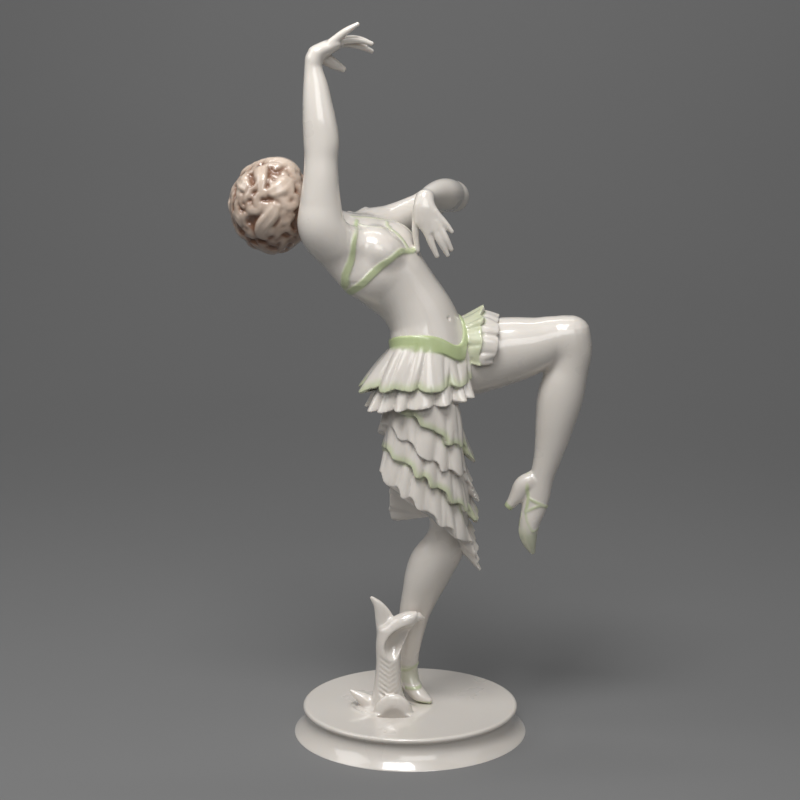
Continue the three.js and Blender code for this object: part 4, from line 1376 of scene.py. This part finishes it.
# Locks of the side that shows most: x, z and half width of each. The rest of the head is spread with others.
LOCKS = [
    [[-69.5, 292.9, 3.4], [-62.8, 295.1, 4.4], [-57.5, 294.3, 4.4], [-53.2, 291.8, 3.4]],
    [[-65.3, 290.1, 2.6], [-60.3, 291.2, 3.3], [-58.2, 289.1, 2.9], [-61.8, 286.2, 2.2]],
    [[-58.2, 287.6, 1.2], [-53.6, 288.5, 1.4], [-52.0, 286.2, 1.4], [-53.8, 283.6, 1.1]],
    [[-71.4, 289.2, 2.6], [-71.4, 284.8, 2.6], [-71.8, 279.7, 1.8]],
    [[-81.7, 283.4, 2.9], [-80.0, 282.0, 3.5], [-78.2, 280.6, 2.6]],
    [[-82.0, 288.7, 1.8], [-78.8, 290.5, 2.3], [-75.6, 291.9, 2.0]],
    [[-75.2, 290.5, 2.2], [-72.4, 292.9, 2.4], [-67.7, 294.2, 2.2]],
    [[-86.8, 281.3, 1.2], [-85.6, 284.8, 1.6], [-81.7, 286.2, 1.5]],
    [[-86.4, 275.4, 1.6], [-86.5, 272.6, 1.9], [-85.7, 269.8, 1.6]],
    [[-84.1, 268.1, 2.0], [-82.4, 266.3, 2.6], [-81.0, 263.5, 1.8]],
    [[-59.3, 284.1, 2.2], [-62.2, 281.3, 3.9], [-66.5, 279.1, 2.9], [-69.4, 279.1, 1.1]],
    [[-58.3, 284.1, 1.7], [-58.7, 279.8, 2.2], [-60.1, 275.6, 1.7]],
    [[-64.8, 273.4, 2.6], [-67.0, 269.2, 3.5], [-71.0, 264.2, 3.5], [-72.8, 259.9, 2.6], [-71.1, 257.7, 1.7]],
    [[-62.0, 272.7, 1.5], [-61.7, 268.1, 1.7], [-64.2, 263.5, 1.7], [-67.8, 261.3, 1.5]],
    [[-69.7, 277.4, 1.0], [-72.6, 278.4, 1.0], [-75.1, 276.3, 1.0], [-74.1, 273.1, 1.0], [-70.8, 273.8, 1.0]],
    [[-76.5, 277.0, 1.1], [-79.0, 277.4, 1.1], [-81.5, 274.9, 1.2], [-80.1, 272.0, 1.2], [-77.3, 272.4, 1.0]],
    [[-77.7, 270.6, 1.5], [-73.4, 270.9, 1.8], [-69.4, 273.4, 1.5]],
    [[-85.6, 262.0, 1.7], [-82.8, 259.2, 2.2], [-79.3, 257.4, 2.0]],
    [[-79.2, 261.0, 1.7], [-77.1, 259.9, 1.8], [-75.7, 257.7, 1.5]],
    [[-75.7, 254.5, 1.8], [-72.9, 252.7, 2.2], [-70.8, 251.0, 1.7]],
    [[-66.4, 255.9, 1.5], [-63.2, 257.7, 1.8], [-62.9, 254.1, 2.2], [-64.3, 251.2, 1.8]],
    [[-59.5, 268.8, 1.5], [-60.6, 264.9, 1.8], [-59.2, 261.0, 1.7], [-56.8, 259.2, 1.3]],
    [[-56.9, 277.0, 1.8], [-56.6, 273.4, 2.0], [-58.4, 271.3, 1.5]],
    [[-54.2, 267.0, 1.5], [-54.9, 263.1, 1.7], [-53.9, 259.2, 1.7], [-55.4, 254.9, 1.7]],
]


def near_side(x, z):
    """The direction from the hair's middle to the near side of its oval at that x and z."""
    half = HAIR_HALF - HAIR_SUNK
    start = (np.array([x, 0, z]) - HAIR_MIDDLE) @ HEAD_AXES.T / half
    step = HEAD_AXES.T[1] / half
    a, b, c = step @ step, start @ step, start @ start - 1
    y = (-b - math.sqrt(max(0.0, b * b - a * c))) / a
    return (start + y * step) / max(1.0, np.linalg.norm(start + y * step))


def hair_place(spot):
    """The point of the hair's surface along a direction: on its oval, or on the cap over the brow."""
    place = spot * (HAIR_HALF - HAIR_SUNK) + [0, -HAIR_BACK, HAIR_UP]
    cap_middle, cap_half = np.array(HAIR_CAP)
    cap_half = cap_half - CAP_SUNK
    inside = (place - cap_middle) / cap_half
    if inside @ inside < 1:
        place = cap_middle + inside / np.linalg.norm(inside) * cap_half
    return HEAD_MIDDLE + place @ HEAD_AXES


def strand(spots, sizes):
    """A strand of hair along directions on the hair's oval."""
    rows = [[*hair_place(spot), size + STRAND_HEIGHT, size] for spot, size in zip(spots, sizes)]
    return limb(rows, unit(spots[len(spots) // 2] @ HEAD_AXES), sides=14, step=0.8)


def lock(spots, sizes):
    """The strands that lie side by side in a lock."""
    spots, sizes = np.array(spots), np.array(sizes)
    side = unit(np.cross(spots, np.gradient(spots, axis=0)))
    for shift in STRANDS:
        moved = unit(spots + side * (shift * sizes / HAIR_HALF.mean())[:, None])
        yield strand(moved, STRAND_WIDTH * sizes)


def drawn_locks():
    """The locks that are drawn one by one, as directions and half widths."""
    for rows in LOCKS:
        yield [near_side(x, z) for x, z, _ in rows], [half for _, _, half in rows]


def curling_lock(rng, at):
    """A lock that curls one way from a direction, as directions and half widths."""
    heading = unit(np.cross(at, rng.normal(size=3)))
    bend = rng.choice([-1, 1]) * rng.uniform(*LOCK_BEND)
    half = rng.uniform(*LOCK_HALF)
    spots = []
    for _ in range(LOCK_STEPS):
        spots.append(at)
        heading = unit(heading + bend * np.cross(at, heading))
        at = unit(at + heading * rng.uniform(*LOCK_STEP))
        heading = unit(heading - heading @ at * at)
    if min((spot @ HEAD_AXES)[1] for spot in spots) < NEAR_SIDE:
        half *= NEAR_SHARE
    parts = (np.arange(LOCK_STEPS) + 1.3) / (LOCK_STEPS + 1.6)
    return spots, half * np.sin(math.pi * parts) ** 0.6


def other_locks():
    """Locks from directions spread evenly round the head."""
    rng = np.random.default_rng(11)
    golden = math.pi * (3 - math.sqrt(5))
    for i in range(OTHER_LOCKS):
        height = 1 - (2 * i + 1) / OTHER_LOCKS
        ring = math.sqrt(1 - height * height)
        yield curling_lock(rng, np.array([ring * math.cos(golden * i), ring * math.sin(golden * i), height]))


def model_hair():
    clay = Clay(HAIR_MIDDLE - 30, HAIR_MIDDLE + 30, voxel=0.42)
    clay.add(ball(HAIR_MIDDLE, HAIR_HALF - HAIR_RECESS, HEAD_AXES, segments=64))
    clay.add(head_ball(HAIR_CAP[0], np.array(HAIR_CAP[1]) - CAP_RECESS, segments=64), blend=2)
    for locks, blend in ((drawn_locks(), 1.5), (other_locks(), 1.4)):
        for spots, sizes in locks:
            for form in lock(spots, sizes):
                clay.add(form, blend)
    clay.cut(head_ball(*FACE_WINDOW, segments=40), blend=1.5)
    made = clay.mesh("hair", most=150000)
    points = vertices(made)
    deep = np.linalg.norm((points - HAIR_MIDDLE) @ HEAD_AXES.T / HAIR_HALF, axis=1)
    # Lower down the hair darkens: partly darker paint, partly painted shade.
    low = smooth(*BROWN_AND_SHADE_HEIGHTS, points[:, 2])
    brown_and_shade = 0.8 * smooth(*BROWN_DEPTHS, deep) + 1.2 * hollows(clay, points, 1.8) + 0.45 * low
    keep_mask(made, "hollow", brown_and_shade)
    return made


class Nodes:
    """Short ways to build a material's nodes."""

    def __init__(self, name):
        self.material = bpy.data.materials.new(name)
        self.material.use_nodes = True
        self.tree = self.material.node_tree
        self.shader = self.tree.nodes["Principled BSDF"]

    def add(self, kind, inputs=None, **settings):
        node = self.tree.nodes.new("ShaderNode" + kind)
        for key, value in settings.items():
            setattr(node, key, value)
        for key, value in (inputs or {}).items():
            self.set(node.inputs[key], value)
        return node

    def set(self, socket, value):
        """Links a socket to another, or sets its value."""
        if isinstance(value, bpy.types.NodeSocket):
            self.tree.links.new(value, socket)
        elif isinstance(value, tuple) and len(value) == 3 and socket.type == "RGBA":
            socket.default_value = (*value, 1)
        else:
            socket.default_value = value

    def mask(self, name):
        """A value kept on the vertices."""
        return self.add("Attribute", attribute_name=name).outputs["Fac"]

    def noise(self, scale, detail=3.0):
        place = self.add("TexCoord").outputs["Object"]
        return self.add("TexNoise", {"Vector": place, "Scale": scale, "Detail": detail}).outputs["Fac"]

    def maths(self, operation, a, b):
        return self.add("Math", {0: a, 1: b}, operation=operation, use_clamp=True).outputs[0]

    def mix(self, share, a, b):
        node = self.add("Mix", data_type="RGBA")
        self.set(node.inputs["Factor"], share)
        self.set(node.inputs["A"], a)
        self.set(node.inputs["B"], b)
        return node.outputs["Result"]


# Linear colours of the porcelain and of the paints under its glaze; the cream is painted shade for the
# hollows.
WHITE = (0.78, 0.735, 0.685)
WARM_WHITE = (0.75, 0.70, 0.64)
CREAM_SHADE = (0.50, 0.41, 0.31)
GREEN = (0.44, 0.53, 0.24)
PALE_GREEN = (0.60, 0.67, 0.40)
HAIR_LIGHT = (0.70, 0.58, 0.48)
HAIR_DARK = (0.22, 0.115, 0.07)
LIP_RED = (0.48, 0.17, 0.13)
LASH_BROWN = (0.10, 0.055, 0.04)


def painted(made):
    """The colour of white porcelain with its paints, with painted shade making the hollows greyer and
    creamier.
    """
    cloud = made.maths("ADD", made.noise(14.0), 0.5)
    body = made.mix(cloud, WHITE, WARM_WHITE)
    # Painted shade: the hollows are darkened towards the cream colour.
    body = made.mix(made.maths("MULTIPLY", made.mask("hollow"), 0.5), body, CREAM_SHADE)
    uneven = made.maths("MULTIPLY", made.noise(90.0), 0.7)
    body = made.mix(made.mask("green"), body, made.mix(uneven, GREEN, PALE_GREEN))
    body = made.mix(made.mask("red"), body, LIP_RED)
    return made.mix(made.mask("dark"), body, LASH_BROWN)


def brown_glazed_and_shaded(made):
    """The colour of the hair, browner in its hollows and darker low down, partly by painted shade."""
    uneven = made.maths("MULTIPLY", made.noise(120.0), 0.22)
    # The painted shade low on the hair comes in through the same mask as the brown glaze.
    return made.mix(made.maths("ADD", made.mask("hollow"), uneven), HAIR_LIGHT, HAIR_DARK)


def porcelain(name, colour):
    """Glossy glazed porcelain with the colour that a function makes."""
    made = Nodes(name)
    shader = made.shader
    made.set(shader.inputs["Base Color"], colour(made))
    rough = made.maths("MULTIPLY", made.noise(40.0), 0.3)
    made.set(shader.inputs["Roughness"], made.maths("ADD", rough, 0.16))
    shader.inputs["IOR"].default_value = 1.5
    shader.inputs["Coat Weight"].default_value = 1.0
    shader.inputs["Coat Roughness"].default_value = 0.04
    shader.inputs["Subsurface Weight"].default_value = 0.12
    shader.inputs["Subsurface Radius"].default_value = (0.004, 0.003, 0.002)
    shader.inputs["Subsurface Scale"].default_value = 0.6
    bump = made.add("Bump", {"Height": made.noise(70.0, 2.0), "Strength": 0.05, "Distance": 0.001})
    made.set(shader.inputs["Coat Normal"], bump.outputs["Normal"])
    return made.material


camera()
studio()
white_glaze = porcelain("porcelain", painted)
hair_glaze = porcelain("hair_glaze", brown_glazed_and_shaded)
pieces = [model_base(), model_torso(), model_legs(), model_skirt(), model_hair()]
for piece in pieces:
    is_hair = piece.name == "hair"
    piece.data.materials.append(hair_glaze if is_hair else white_glaze)
    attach(piece, "root")
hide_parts("dancer_figurine")
